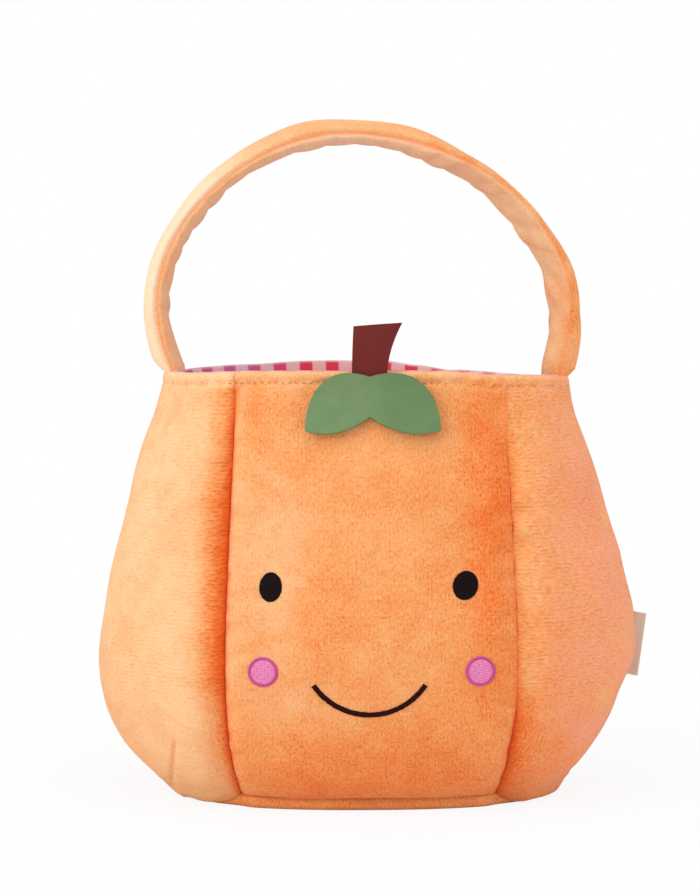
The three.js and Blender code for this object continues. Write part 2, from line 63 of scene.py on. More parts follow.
Stops = Sequence[Pair]
Marks = dict[str, Array]
Line = Callable[[Array, Array], tuple[Array, Array]]
Material = bpy.types.Material
Node = bpy.types.Node
Socket = bpy.types.NodeSocket
LOG = logging.getLogger("candy_basket")
MM = 0.001
QUARTER = math.pi / 2
TURN = 2.0 * math.pi


def smooth(value: Array, low: Array | float, high: Array | float) -> Array:
    """A smooth step for each value, from 0 at low to 1 at high."""
    share = np.clip((value - low) / (high - low), 0.0, 1.0)
    return share * share * (3.0 - 2.0 * share)


def bell(distance: Array, width: float) -> Array:
    """A bell of height 1 over distance 0, which has fallen to a third at width."""
    return np.exp(-((distance / width) ** 2))


def bezier(points: Sequence[Sequence[float]], turns: Array) -> Array:
    """Points on a cubic curve.

    Args:
        points: Its four control points, of two or three numbers each.
        turns: Shares of its range, from 0 to 1.

    Returns:
        One row for each share.
    """
    a, b, c, d = (np.array(p, float) for p in points)
    t = turns[..., None]
    rest = 1.0 - t
    return rest**3 * a + 3 * rest**2 * t * b + 3 * rest * t**2 * c + t**3 * d


def eased(value: Array, stops: Stops) -> Array:
    """A smooth line through a few stops.

    Args:
        value: The numbers to look up.
        stops: Each stop's place and height, in order.

    Returns:
        The line's height for each number.
    """
    total = np.full(np.shape(value), float(stops[0][1]))
    for (start, low), (end, high) in zip(stops[:-1], stops[1:]):
        total += (high - low) * smooth(value, start, end)
    return total


def in_units(*pairs: Pair, place: float = 1.0, height: float = 1.0) -> Stops:
    """Stops whose places and heights are given in units of their own."""
    return tuple((at * place, level * height) for at, level in pairs)


def lengths(points: Array) -> Array:
    """How far along a line each of its points lies."""
    return np.concatenate([[0.0], np.cumsum(np.linalg.norm(np.diff(points, axis=0), axis=1))])


def pillow(across: Array) -> Array:
    """How a panel puffs from seam to seam: 0 at shares 0 and 1, and 1 between them."""
    return (1.0 - np.abs(2.0 * across - 1.0) ** 3.0) ** 0.6


class Ripple:
    """Smooth, seeded unevenness over a cloth: a sum of plane waves."""

    def __init__(self, seed: int, length: float, across: float = 1.0, waves: int = 22) -> None:
        """Draws the waves.

        Args:
            seed: Chooses the waves.
            length: The usual distance from one crest to the next.
            across: How many times longer the waves are sideways.
            waves: How many waves are added up.
        """
        draw = np.random.default_rng(seed)
        heading = draw.uniform(0.0, TURN, waves)
        steps = TURN / (length * draw.uniform(0.7, 1.7, waves))
        self.side = steps * np.cos(heading) / across
        self.rise = steps * np.sin(heading)
        self.phase = draw.uniform(0.0, TURN, waves)

    def at(self, side: Array, rise: Array) -> Array:
        """The unevenness at places on the cloth, mostly within -1.5 and 1.5."""
        total = np.zeros(np.broadcast(side, rise).shape)
        for a, b, phase in zip(self.side, self.rise, self.phase):
            total += np.cos(a * side + b * rise + phase)
        return total * math.sqrt(2.0 / len(self.phase))


class Scallops:
    """Uneven bulges in a row with sharp creases between them, as gathered cloth has."""

    def __init__(self, seed: int, length: float, pitch: float, spread: float = 0.35) -> None:
        """Draws the creases.

        Args:
            seed: Chooses them.
            length: How long the row is.
            pitch: The usual distance between two creases.
            spread: How much that distance varies, as a share of itself.
        """
        draw = np.random.default_rng(seed)
        count = int(length / pitch * 1.6) + 4
        steps = pitch * draw.uniform(1.0 - spread, 1.0 + spread, count)
        self.creases = np.concatenate([[-pitch], np.cumsum(steps) - pitch])
        self.sizes = draw.uniform(0.45, 1.0, count)

    def at(self, run: Array) -> Array:
        """The bulge at distances along the row, from 0 in a crease to 1 at most."""
        k = np.clip(np.searchsorted(self.creases, run) - 1, 0, len(self.sizes) - 1)
        share = (run - self.creases[k]) / (self.creases[k + 1] - self.creases[k])
        return self.sizes[k] * np.sin(math.pi * np.clip(share, 0.0, 1.0)) ** 0.7


@dataclass
class Surface:
    """One mesh before it becomes an object.

    Attributes:
        points: Its corners.
        faces: Four corner numbers for each face.
        cloth: Each corner's place on the flat cloth.
        marks: Named numbers, one for each corner, which the finishes read.
    """

    points: Array
    faces: NDArray[np.int64]
    cloth: Array
    marks: Marks = field(default_factory=dict)

    @classmethod
    def closed_sheet(cls, front: Array, back: Array, cloth: Array, marks: Marks | None = None) -> "Surface":
        """A closed sheet between two grids of points.

        Args:
            front: Rows of points that face out, going up and then rightwards seen from outside.
            back: As many points that face in.
            cloth: The place of each grid point on the flat cloth.
            marks: Named numbers for each grid point.

        Returns:
            The closed surface.
        """
        rows, columns = front.shape[:2]
        index = np.arange(rows * columns).reshape(rows, columns)
        a, b, c, d = index[:-1, :-1], index[:-1, 1:], index[1:, 1:], index[1:, :-1]
        outer = np.stack([a, b, c, d], -1).reshape(-1, 4)
        behind = rows * columns
        inner = outer[:, ::-1] + behind
        border = np.concatenate([index[0, :-1], index[:-1, -1], index[-1, :0:-1], index[:0:-1, 0]])
        after = np.roll(border, -1)
        rim = np.stack([after, border, border + behind, after + behind], -1)
        points = np.concatenate([front.reshape(-1, 3), back.reshape(-1, 3)])
        doubled = {name: np.tile(mark.reshape(-1), 2) for name, mark in (marks or {}).items()}
        flat = np.tile(cloth.reshape(-1, 2), (2, 1))
        return cls(points, np.concatenate([outer, inner, rim]), flat, doubled)

    @classmethod
    def ring_loft(cls, rings: Array, cloth: Array, marks: Marks | None = None) -> "Surface":
        """A tube or a dish through rings of points, with both ends filled.

        Args:
            rings: Rings in order, each going round the same way.
            cloth: The place of each ring point on the flat cloth.
            marks: Named numbers for each ring point.

        Returns:
            The closed surface.
        """
        count, around = rings.shape[:2]
        index = np.arange(count * around).reshape(count, around)
        here, after = index[:-1], index[1:]
        quads = np.stack([here, np.roll(here, -1, 1), np.roll(after, -1, 1), after], -1).reshape(-1, 4)
        points = rings.reshape(-1, 3)
        flat = cloth.reshape(-1, 2)
        named = {name: mark.reshape(-1) for name, mark in (marks or {}).items()}
        faces = [quads]
        for row, turn in ((0, -1), (count - 1, 1)):
            middle = len(points)
            points = np.concatenate([points, rings[row].mean(0)[None]])
            flat = np.concatenate([flat, cloth[row].mean(0)[None]])
            named = {name: np.append(mark, mark[index[row]].mean()) for name, mark in named.items()}
            ends = index[row][::turn]
            tip = np.full(around, middle)
            faces.append(np.stack([ends, np.roll(ends, -1), tip, tip], -1))
        return cls(points, np.concatenate(faces), flat, named)

    def joined(self, other: "Surface") -> "Surface":
        """This surface and another with the same marks, as one."""
        return Surface(
            np.concatenate([self.points, other.points]),
            np.concatenate([self.faces, other.faces + len(self.points)]),
            np.concatenate([self.cloth, other.cloth]),
            {name: np.concatenate([mark, other.marks[name]]) for name, mark in self.marks.items()},
        )

    def area(self) -> float:
        """The whole surface's area in square metres."""
        a, b, c, d = (self.points[self.faces[:, k]] for k in range(4))
        halves = np.linalg.norm(np.cross(c - a, d - b), axis=1)
        return float(halves.sum() / 2.0)

    def to_object(self, name: str, material: Material, sharp: float = 60.0) -> bpy.types.Object:
        """Makes the Blender object.

        Args:
            name: The piece's name.
            material: Its finish.
            sharp: The angle in degrees above which an edge is shaded sharp.

        Returns:
            The linked object.
        """
        mesh = bpy.data.meshes.new(name)
        rows = [tuple(dict.fromkeys(face)) for face in self.faces.tolist()]
        mesh.from_pydata(self.points.tolist(), [], rows)
        corners = np.zeros(len(mesh.loops), np.int64)
        mesh.loops.foreach_get("vertex_index", corners)
        layer = mesh.uv_layers.new(name="cloth")
        layer.data.foreach_set("uv", self.cloth[corners].astype(np.float32).ravel())
        for mark, values in self.marks.items():
            attribute = mesh.attributes.new(mark, "FLOAT", "POINT")
            attribute.data.foreach_set("value", values.astype(np.float32))
        mesh.shade_smooth()
        mesh.set_sharp_from_angle(angle=math.radians(sharp))
        mesh.materials.append(material)
        piece = bpy.data.objects.new(name, mesh)
        bpy.context.scene.collection.objects.link(piece)
        LOG.info("%s: %d corners", name, len(self.points))
        return piece


# degrees from the front, and how far the rim stands above its even height
RIM_LINE = in_units(
    (0, 2.5), (19, 1.9), (42, -0.3), (58, -1.4), (74, -2.5), (92, -3.3), (113, -5.5), (135, -6.1),
    (154, -5.1), (164, -2.9), (173, -1.0), (199, 0.0), (216, -0.9), (232, -1.8), (246, -1.8),
    (270, -0.3), (294, -0.5), (330, 2.7), (360, 2.5),
    height=MM,
)


@dataclass
class BodyShape:
    """The squared oval of the body, from its base seam to its rim."""

    rim_half_width: float = 96.5 * MM
    rim_half_depth: float = 60 * MM
    belly_half_width: float = 123.5 * MM
    belly_half_depth: float = 82 * MM
    base_half_width: float = 95 * MM
    base_half_depth: float = 62 * MM
    squareness: float = 2.4
    rim_height: float = 203 * MM
    belly_height: float = 69 * MM
    foot_height: float = 7.3 * MM
    rim_seam_half: float = 62.5 * MM
    belly_seam_half: float = 67.5 * MM
    base_seam_half: float = 60.5 * MM
    neck_run: float = 40 * MM
    shoulder_run: float = 35 * MM
    neck_swell: float = 0.18
    hip_run: float = 28 * MM
    turn_run: float = 14 * MM
    turn_swell: float = 0.62
    puff_top_run: float = 55 * MM
    upper: Array = field(init=False, repr=False)
    lower: Array = field(init=False, repr=False)

    def __post_init__(self) -> None:
        """Tabulates the side view's two curves, as height against swell."""
        turns = np.linspace(1.0, 0.0, 2001)
        neck = (self.neck_swell, self.rim_height - self.neck_run)
        shoulder = (1.0, self.belly_height + self.shoulder_run)
        hip = (1.0, self.belly_height - self.hip_run)
        turn = (self.turn_swell, self.foot_height + self.turn_run)
        belly = (1.0, self.belly_height)
        self.upper = bezier([(0.0, self.rim_height), neck, shoulder, belly], turns)
        self.lower = bezier([belly, hip, turn, (0.0, self.foot_height)], turns)

    def girth(self, height: Array) -> tuple[Array, Array, Array]:
        """The section at heights.

        Args:
            height: Heights above the floor.

        Returns:
            Its half-width, half-depth, and half the distance between the seams of the face panel.
        """
        above = height >= self.belly_height
        swell = np.where(
            above,
            np.interp(height, self.upper[:, 1], self.upper[:, 0]),
            np.interp(height, self.lower[:, 1], self.lower[:, 0]),
        )
        ends = (
            (self.rim_half_width, self.base_half_width, self.belly_half_width),
            (self.rim_half_depth, self.base_half_depth, self.belly_half_depth),
            (self.rim_seam_half, self.base_seam_half, self.belly_seam_half),
        )
        sides = [np.where(above, rim, base) * (1.0 - swell) + belly * swell for rim, base, belly in ends]
        return sides[0], sides[1], sides[2]

    def seam_angle(self, height: Array) -> Array:
        """The angle from the front of the seam beside the face panel."""
        half_width, _, seam_half = self.girth(height)
        sideways = seam_half / half_width
        return np.arctan2(sideways, (1.0 - sideways**self.squareness) ** (1.0 / self.squareness))

    def rim_lift(self, angle: Array, height: Array) -> Array:
        """How far the rim stands above or below its even height.

        Args:
            angle: Angles from the front.
            height: Heights above the floor; the lift fades out below the rim.

        Returns:
            The lift for each angle and height.
        """
        turn = np.mod(angle, TURN)
        across, along = np.sin(turn) * self.rim_half_width, np.cos(turn) * self.rim_half_depth
        wander = Ripple(77, 70 * MM).at(across, along)
        near_rim = smooth(height, self.rim_height - 34 * MM, self.rim_height)
        return (eased(np.degrees(turn), RIM_LINE) + 0.3 * MM * wander) * near_rim

    def arc(self, angle: Array, height: Array, out: float = 0.0) -> Array:
        """How far along the wall each point of a row lies from the row's first point."""
        steps = np.linalg.norm(np.diff(self.wall(angle, height, out), axis=-2), axis=-1)
        return np.concatenate([np.zeros_like(steps[..., :1]), np.cumsum(steps, -1)], -1)

    def wall(self, angle: Array, height: Array, out: Array | float = 0.0) -> Array:
        """Points on the section, or off it.

        Args:
            angle: Angles from the front, growing to the right.
            height: Heights above the floor.
            out: Distances out of the section.

        Returns:
            One point for each angle and height.
        """
        half_width, half_depth, _ = self.girth(height)
        sine, cosine = np.sin(angle), np.cos(angle)
        power = self.squareness
        reach = (np.abs(sine) ** power + np.abs(cosine) ** power) ** (-1.0 / power)
        across = np.sign(sine) * np.abs(sine) ** (power - 1.0) / half_width
        along = -np.sign(cosine) * np.abs(cosine) ** (power - 1.0) / half_depth
        size = np.hypot(across, along)
        x = half_width * reach * sine + out * across / size
        y = -half_depth * reach * cosine + out * along / size
        return np.stack([x, y, np.broadcast_to(height, x.shape)], -1)


@dataclass(frozen=True)
class Seam:
    """A seam that runs up the body, beside a middle line at an angle from the front."""

    middle: float
    side: int

    @property
    def pull(self) -> float:
        """How hard it draws the plush in: fully beside a face panel, and less at the side."""
        return 1.0 if self.side else 0.25

    def angle(self, shape: BodyShape, height: Array) -> Array:
        """Its angle from the front at heights."""
        return self.middle + self.side * shape.seam_angle(height)


@dataclass(frozen=True)
class PanelPlan:
    """One panel of the body: its two seams, how far it puffs out, and its painted light, a level for the
    whole panel and the painted shade and highlights beside its seams.
    """

    name: str
    start: Seam
    end: Seam
    puff: float
    seed: int
    columns: int
    nap: float
    nap_start: Stops | None
    nap_end: Stops | None

    @property
    def is_gore(self) -> bool:
        """Whether it is a gore and not a face panel."""
        return self.puff == GORE_PUFF

    @property
    def plush_node(self) -> str:
        """The CAD node of its plush."""
        return self.name + ("_gore" if self.is_gore else "_panel")

    @property
    def wadding_node(self) -> str:
        """The CAD node of its wadding."""
        return self.name + "_wadding"


# heights, and how far a side stands out of the even oval
RIGHT_FLANK = in_units(
    (7, -3.4), (13, -6.6), (46, -6.4), (74, 0.4), (88, 1.4), (112, -0.2), (135, -1.7), (180, -1.6),
    (198, 0),
    place=MM,
    height=MM,
)
LEFT_FLANK = in_units(
    (7, -0.6), (13, -2.2), (26, -0.8), (62, 0), (96, -2.0), (140, -1.8), (175, 0),
    place=MM,
    height=MM,
)
# heights, and how much lighter (above 0) or darker (below 0) the plush is painted beside a seam: painted
# shade where the left gore turns into its crease, a painted highlight on the face panel's left edge, painted
# shade low and a painted highlight high on the right gore's edge, and darker beside the back seams
LEFT_SEAM_SHADE = in_units(
    (10, -0.15), (40, -0.5), (70, -0.85), (120, -0.9), (170, -0.6), (195, -0.45),
    place=MM,
)
FACE_SEAM_HIGHLIGHT = in_units((10, 0.02), (60, 0.14), (190, 0.16), place=MM)
RIGHT_SEAM_SHADE_AND_HIGHLIGHT = in_units((8, -0.3), (50, -0.36), (66, 0.1), (190, 0.12), place=MM)
BACK_SEAM_DARKENING = in_units((10, -0.1), (60, -0.3), (190, -0.2), place=MM)
LEFT_SIDE = Seam(-QUARTER, 0)
FACE_LEFT = Seam(0.0, -1)
FACE_RIGHT = Seam(0.0, 1)
RIGHT_SIDE = Seam(QUARTER, 0)
BACK_RIGHT = Seam(math.pi, -1)
BACK_LEFT = Seam(math.pi, 1)
LEFT_SIDE_AGAIN = Seam(3 * QUARTER, 0)
PANEL_PUFF = 5 * MM
GORE_PUFF = 6.5 * MM

# each plan's level of painted light: 0.36 and 0.2 paint the left gores lighter, as the side the light falls
# on
PLANS = (
    PanelPlan("left_front", LEFT_SIDE, FACE_LEFT, GORE_PUFF, 11, 100, 0.36, None, LEFT_SEAM_SHADE),
    PanelPlan("front", FACE_LEFT, FACE_RIGHT, PANEL_PUFF, 12, 96, 0.0, FACE_SEAM_HIGHLIGHT, None),
    PanelPlan("right_front", FACE_RIGHT, RIGHT_SIDE, GORE_PUFF, 13, 100, 0.0, RIGHT_SEAM_SHADE_AND_HIGHLIGHT, None),
    PanelPlan("right_back", RIGHT_SIDE, BACK_RIGHT, GORE_PUFF, 14, 64, 0.0, None, BACK_SEAM_DARKENING),
    PanelPlan("back", BACK_RIGHT, BACK_LEFT, PANEL_PUFF, 15, 96, 0.0, None, BACK_SEAM_DARKENING),
    PanelPlan("left_back", BACK_LEFT, LEFT_SIDE_AGAIN, GORE_PUFF, 16, 64, 0.2, BACK_SEAM_DARKENING, None),
)


class Slot(Enum):
    """The record's finishes."""

    PLUSH = "orange_plush"
    WADDING = "white_wadding"
    LINING = "check_lining"
    BOARD = "base_board"
    STEM = "brown_sheet"
    LEAF = "green_sheet"
    DARK_THREAD = "dark_thread"
    PINK_THREAD = "pink_thread"
    PINK_BORDER = "pink_border_thread"
    LABEL = "label_tape"


Colour = tuple[float, float, float, float]
Value = Socket | float | Colour
Sockets = dict[str, Socket]
WHITE = (1.0, 1.0, 1.0, 1.0)


def rgb(red: int, green: int, blue: int) -> Colour:
    """A screen colour of 0 to 255 as the linear colour that shaders take."""
    shares = [channel / 255.0 for channel in (red, green, blue)]
    linear = [s / 12.92 if s <= 0.04045 else ((s + 0.055) / 1.055) ** 2.4 for s in shares]
    return linear[0], linear[1], linear[2], 1.0


class Graph:
    """Places nodes in a shader tree and joins them."""

    def __init__(self, tree: bpy.types.NodeTree) -> None:
        """Works on one tree."""
        self.tree = tree

    def fill(self, node: Node, inputs: dict[str | int, Value]) -> None:
        """Joins a node's sockets to others, or sets their own numbers and colours.

        Args:
            node: The node.
            inputs: What goes into its sockets, by name or number.
        """
        for name, value in inputs.items():
            if isinstance(value, Socket):
                self.tree.links.new(value, node.inputs[name])
            else:
                node.inputs[name].default_value = value

    def node(self, kind: str, inputs: dict[str | int, Value] | None = None, **settings: object) -> Node:
        """Adds a node.

        Args:
            kind: Its type, without the word ShaderNode.
            inputs: What goes into its sockets, by name or number.
            **settings: Its other properties.

        Returns:
            The node.
        """
        made = self.tree.nodes.new("ShaderNode" + kind)
        for name, setting in settings.items():
            setattr(made, name, setting)
        self.fill(made, inputs or {})
        return made

    def maths(self, operation: str, first: Value, second: Value = 0.0, third: Value = 0.0) -> Socket:
        """The result of one sum on numbers."""
        return self.node("Math", {0: first, 1: second, 2: third}, operation=operation).outputs[0]

    def times(self, first: Value, second: Value) -> Socket:
        """One number times another."""
        return self.maths("MULTIPLY", first, second)

    def plus(self, first: Value, second: Value) -> Socket:
        """One number and another."""
        return self.maths("ADD", first, second)

    def step(self, value: Value, low: float, high: float, start: float = 0.0, end: float = 1.0) -> Socket:
        """A smooth step from start at low to end at high."""
        numbers = {"Value": value, 1: low, 2: high, 3: start, 4: end}
        return self.node("MapRange", numbers, interpolation_type="SMOOTHSTEP").outputs[0]

    def straight(self, value: Value, low: float, high: float) -> Socket:
        """0 below low, 1 above high, and an even rise between them."""
        return self.node("MapRange", {"Value": value, 1: low, 2: high}).outputs[0]

    def mix(self, share: Value, first: Value, second: Value, blend: str = "MIX") -> Socket:
        """One colour blended into another by a share."""
        inputs = {0: share, 6: first, 7: second}
        return self.node("Mix", inputs, data_type="RGBA", blend_type=blend).outputs[2]

    def noise(self, at: Value, size: Value, fine: float = 2, rough: float = 0.5, bend: float = 0) -> Socket:
        """Noise of about 0 to 1, with lumps of a size in metres."""
        numbers = {"Scale": self.maths("DIVIDE", 1.0, size), "Detail": fine, "Roughness": rough}
        return self.node("TexNoise", {"Vector": at, "Distortion": bend, **numbers}).outputs["Fac"]

    def split(self, place: Value) -> tuple[Socket, Socket]:
        """The sideways and upward parts of a place on the cloth."""
        parts = self.node("SeparateXYZ", {0: place})
        return parts.outputs[0], parts.outputs[1]

    def joined(self, side: Value, rise: Value) -> Socket:
        """A place on the cloth from its two parts."""
        return self.node("CombineXYZ", {0: side, 1: rise}).outputs[0]

    def waves(self, run: Value, pitch: Value) -> Socket:
        """A wave from -1 to 1 along a run, with crests a pitch apart."""
        return self.maths("SINE", self.times(self.maths("DIVIDE", run, pitch), TURN))

    def mark(self, name: str) -> Socket:
        """A mark that the mesh carries."""
        return self.node("Attribute", attribute_name=name).outputs["Fac"]

    def bumped(self, height: Socket, distance: float, strength: float = 1.0) -> Socket:
        """A normal that follows a height."""
        inputs = {"Height": height, "Distance": distance, "Strength": strength}
        return self.node("Bump", inputs).outputs["Normal"]


class Effect:
    """A shared node group, built once and placed in each finish with its own values.

    Attributes:
        name: The group's name.
        inputs: Its number inputs with their usual values; it also takes Cloth, a place.
        built: The trees made so far, by name.
    """

    name = ""
    inputs: dict[str, float] = {}
    built: dict[str, bpy.types.NodeTree] = {}

    def wire(self, graph: Graph, given: Sockets) -> Sockets:
        """The group's outputs from its inputs. Each effect has its own."""
        raise NotImplementedError

    def tree(self) -> bpy.types.NodeTree:
        """The group's tree, made on first use."""
        if self.name not in Effect.built:
            tree = bpy.data.node_groups.new(self.name, "ShaderNodeTree")
            tree.interface.new_socket("Cloth", in_out="INPUT", socket_type="NodeSocketVector")
            for name, usual in self.inputs.items():
                made = tree.interface.new_socket(name, in_out="INPUT", socket_type="NodeSocketFloat")
                made.default_value = usual
            graph = Graph(tree)
            given = tree.nodes.new("NodeGroupInput").outputs
            results = self.wire(graph, {socket.name: socket for socket in given})
            for name in results:
                tree.interface.new_socket(name, in_out="OUTPUT", socket_type="NodeSocketFloat")
            graph.fill(tree.nodes.new("NodeGroupOutput"), results)
            Effect.built[self.name] = tree
        return Effect.built[self.name]

    def place(self, graph: Graph, cloth: Value, **values: Value) -> bpy.types.NodeOutputs:
        """Puts the group in a finish.

        Args:
            graph: The finish's graph.
            cloth: The place on the cloth.
            **values: Its inputs, in lower case.

        Returns:
            The group's outputs.
        """
        inputs = {name.capitalize(): value for name, value in values.items()}
        return graph.node("Group", {"Cloth": cloth, **inputs}, node_tree=self.tree()).outputs


class ShortPile(Effect):
    """The knitted ground of a short-pile plush, with the patches that a hand brushes into it."""

    name = "short_pile"
    inputs = {"Tuft": 1.2 * MM, "Rows": 0.5, "Patch": 13 * MM}

    def wire(self, graph: Graph, given: Sockets) -> Sockets:
        """Crimped tufts that lie in rows where Rows is high and any way elsewhere, broken by fuzz."""
        cloth, tuft = given["Cloth"], given["Tuft"]
        side, rise = graph.split(cloth)
        sway = graph.maths("MULTIPLY_ADD", graph.noise(cloth, 6 * MM, 0.0), 0.8 * MM, rise)
        lean = graph.maths("MULTIPLY_ADD", graph.noise(cloth, 5 * MM, 0.0), 0.8 * MM, side)
        pitch = graph.times(tuft, 1.9)
        courses = graph.times(graph.waves(sway, pitch), 0.05)
        wales = graph.times(graph.waves(lean, pitch), 0.035)
        row = graph.noise(graph.joined(graph.times(lean, 0.42), sway), tuft, 1.0)
        post = graph.noise(graph.joined(lean, graph.times(sway, 0.5)), graph.times(tuft, 0.9), 1.0)
        lying, standing = graph.plus(row, courses), graph.plus(post, wales)
        choice = graph.step(graph.plus(graph.noise(cloth, 2.8 * MM, 1.0), given["Rows"]), 0.8, 0.94)
        pile = graph.maths("MULTIPLY_ADD", graph.maths("SUBTRACT", lying, standing), choice, standing)
        fuzz = graph.noise(cloth, graph.times(tuft, 0.5), 1.0, 0.7)
        height = graph.maths("MULTIPLY_ADD", fuzz, 0.3, graph.times(pile, 0.7))
        return {
            "Height": height,
            "Fleck": graph.maths("POWER", graph.straight(height, 0.34, 0.66), 0.7),
            "Patch": graph.noise(cloth, given["Patch"], 3.0, 0.55, 0.8),
            "Broad": graph.noise(cloth, 48 * MM, 1.0),
        }


class LaidThread(Effect):
    """Threads laid side by side, each with the slanting turns of its ply."""

    name = "laid_thread"
    inputs = {"Pitch": 0.36 * MM, "Ply": 0.5 * MM}

    def wire(self, graph: Graph, given: Sockets) -> Sockets:
        """Threads run along the cloth's side and are stacked up its rise."""
        side, rise = graph.split(given["Cloth"])
        thread = graph.maths("ABSOLUTE", graph.waves(rise, graph.times(given["Pitch"], 2.0)))
        ply = graph.waves(graph.maths("MULTIPLY_ADD", rise, 1.4, side), given["Ply"])
        height = graph.maths("MULTIPLY_ADD", ply, 0.18, thread)
        uneven = graph.noise(graph.joined(graph.times(side, 0.15), rise), given["Pitch"])
        shade = graph.maths("MULTIPLY_ADD", uneven, 0.5, graph.times(height, 0.5))
        return {"Height": height, "Shade": shade}


class PlainWeave(Effect):
    """Warp and weft that pass over and under each other."""

    name = "plain_weave"
    inputs = {"Pitch": 0.55 * MM}

    def wire(self, graph: Graph, given: Sockets) -> Sockets:
        """A small board of raised crossings with slubs in the yarn."""
        side, rise = graph.split(given["Cloth"])
        pitch = graph.times(given["Pitch"], 2.0)
        crossing = graph.times(graph.waves(side, pitch), graph.waves(rise, pitch))
        raised = graph.maths("ABSOLUTE", crossing)
        height = graph.maths("MULTIPLY_ADD", raised, 0.8, graph.times(crossing, 0.2))
        slub = graph.noise(graph.joined(graph.times(side, 0.2), rise), given["Pitch"])
        shade = graph.maths("MULTIPLY_ADD", slub, 0.6, graph.times(height, 0.4))
        return {"Height": height, "Shade": shade}


class PressedGrain(Effect):
    """The fine grain of a pressed sheet, with faint broad mottling."""

    name = "pressed_grain"
    inputs = {"Size": 0.7 * MM, "Mottle": 9 * MM}

    def wire(self, graph: Graph, given: Sockets) -> Sockets:
        """Small cells over soft lumps."""
        fine = graph.noise(given["Cloth"], given["Size"], 4.0, 0.65)
        broad = graph.noise(given["Cloth"], given["Mottle"])
        height = graph.maths("MULTIPLY_ADD", broad, 0.4, fine)
        shade = graph.maths("MULTIPLY_ADD", fine, 0.4, graph.times(broad, 0.6))
        return {"Height": height, "Shade": shade}


PILE = ShortPile()
THREAD = LaidThread()
WEAVE = PlainWeave()
GRAIN = PressedGrain()


@dataclass(frozen=True)
class Finish:
    """A material for one kind of cloth or sheet."""

    name: str

    def look(self, graph: Graph, cloth: Socket) -> dict[str, Value]:
        """What goes into the main shader, for places on the cloth. Each finish has its own."""
        raise NotImplementedError

    def dress(self) -> Material:
        """Builds the material."""
        material = bpy.data.materials.new(self.name)
        material.use_nodes = True
        graph = Graph(material.node_tree)
        cloth = graph.node("UVMap", uv_map="cloth").outputs["UV"]
        graph.fill(material.node_tree.nodes["Principled BSDF"], self.look(graph, cloth))
        return material


@dataclass(frozen=True)
class PlushFinish(Finish):
    """Short-pile plush: random pale and deep patches, with painted light and painted shade from the marks,
    and deep in the painted shade of seams and creases.
    """

    deep: Colour = rgb(247, 120, 47)
    middle: Colour = rgb(252, 171, 106)
    pale: Colour = rgb(254, 209, 160)
    cream: Colour = rgb(255, 232, 198)
    # colour of the painted shade in the pile's low spots
    painted_hollow_shade: Colour = rgb(226, 180, 144)
    # colour of the painted pinkish sheen
    rose: Colour = rgb(255, 172, 138)
    tuft: float = 1.0 * MM
    patch: float = 13 * MM
    grain: float = 0.5

    def look(self, graph: Graph, cloth: Socket) -> dict[str, Value]:
        """The plush, which reads the marks of painted light, painted seam shade, pile rows and painted
        sheen.
        """
        pile = PILE.place(graph, cloth, tuft=self.tuft, rows=graph.mark("rows"), patch=self.patch)
        spots = graph.step(pile["Patch"], 0.36, 0.66, -0.06, 0.06)
        broad = graph.step(pile["Broad"], 0.3, 0.7, -0.06, 0.06)
        # tone: random patches, plus the painted light and painted shade of the marks
        tone = graph.plus(graph.plus(spots, broad), graph.mark("nap"))
        # painted shade and highlight at the pile's scale: tufts paler on their crests and darker in their
        # low spots, more so where the tone is deep
        grain = graph.step(tone, -0.25, 0.45, 1.15 * self.grain, 0.36 * self.grain)
        fleck = graph.maths("SUBTRACT", pile["Fleck"], 0.58)
        tint = graph.times(graph.times(fleck, grain), 0.55)
        lift = graph.plus(graph.plus(tint, tone), 0.5)
        # the tone ramp: painted light picks the paler tones, painted shade the deeper ones, and cream is
        # reached only where painted light is strongest
        body: Value = self.deep
        for start, colour in ((0.0, self.middle), (0.5, self.pale), (1.0, self.cream)):
            body = graph.mix(graph.straight(lift, start, start + 0.5), body, colour)
        # painted sheen where marked, and painted shade deep in the seams' creases
        for mark, share, colour in (("rose", 0.7, self.rose), ("seam", 0.8, self.deep)):
            body = graph.mix(graph.times(graph.mark(mark), share), body, colour)
        # painted shade in the pile's low spots
        depth = graph.times(graph.maths("SUBTRACT", 1.0, pile["Fleck"]), grain)
        return {
            "Base Color": graph.mix(depth, body, self.painted_hollow_shade, "MULTIPLY"),
            "Roughness": graph.step(tone, -0.4, 0.4, 0.98, 0.88),
            "Sheen Weight": 0.35,
            "Sheen Roughness": 0.42,
            "Sheen Tint": rgb(255, 204, 170),
            "Specular IOR Level": 0.15,
            "Normal": graph.bumped(pile["Height"], 1.0 * MM),
        }


@dataclass(frozen=True)
class ThreadFinish(Finish):
    """Lustrous embroidery thread."""

    light: Colour
    dark: Colour
    rough: float = 0.42
    shine: float = 0.4

    def look(self, graph: Graph, cloth: Socket) -> dict[str, Value]:
        """The thread, which reads the mark dent."""
        laid = THREAD.place(graph, cloth)
        shade = graph.maths("SUBTRACT", graph.step(laid["Shade"], 0.25, 0.8), graph.mark("dent"))
        return {
            "Base Color": graph.mix(shade, self.dark, self.light),
            "Roughness": graph.step(shade, 0.0, 1.0, self.rough + 0.2, self.rough),
            "Specular IOR Level": self.shine,
            "Normal": graph.bumped(laid["Height"], 0.12 * MM, 0.6),
        }


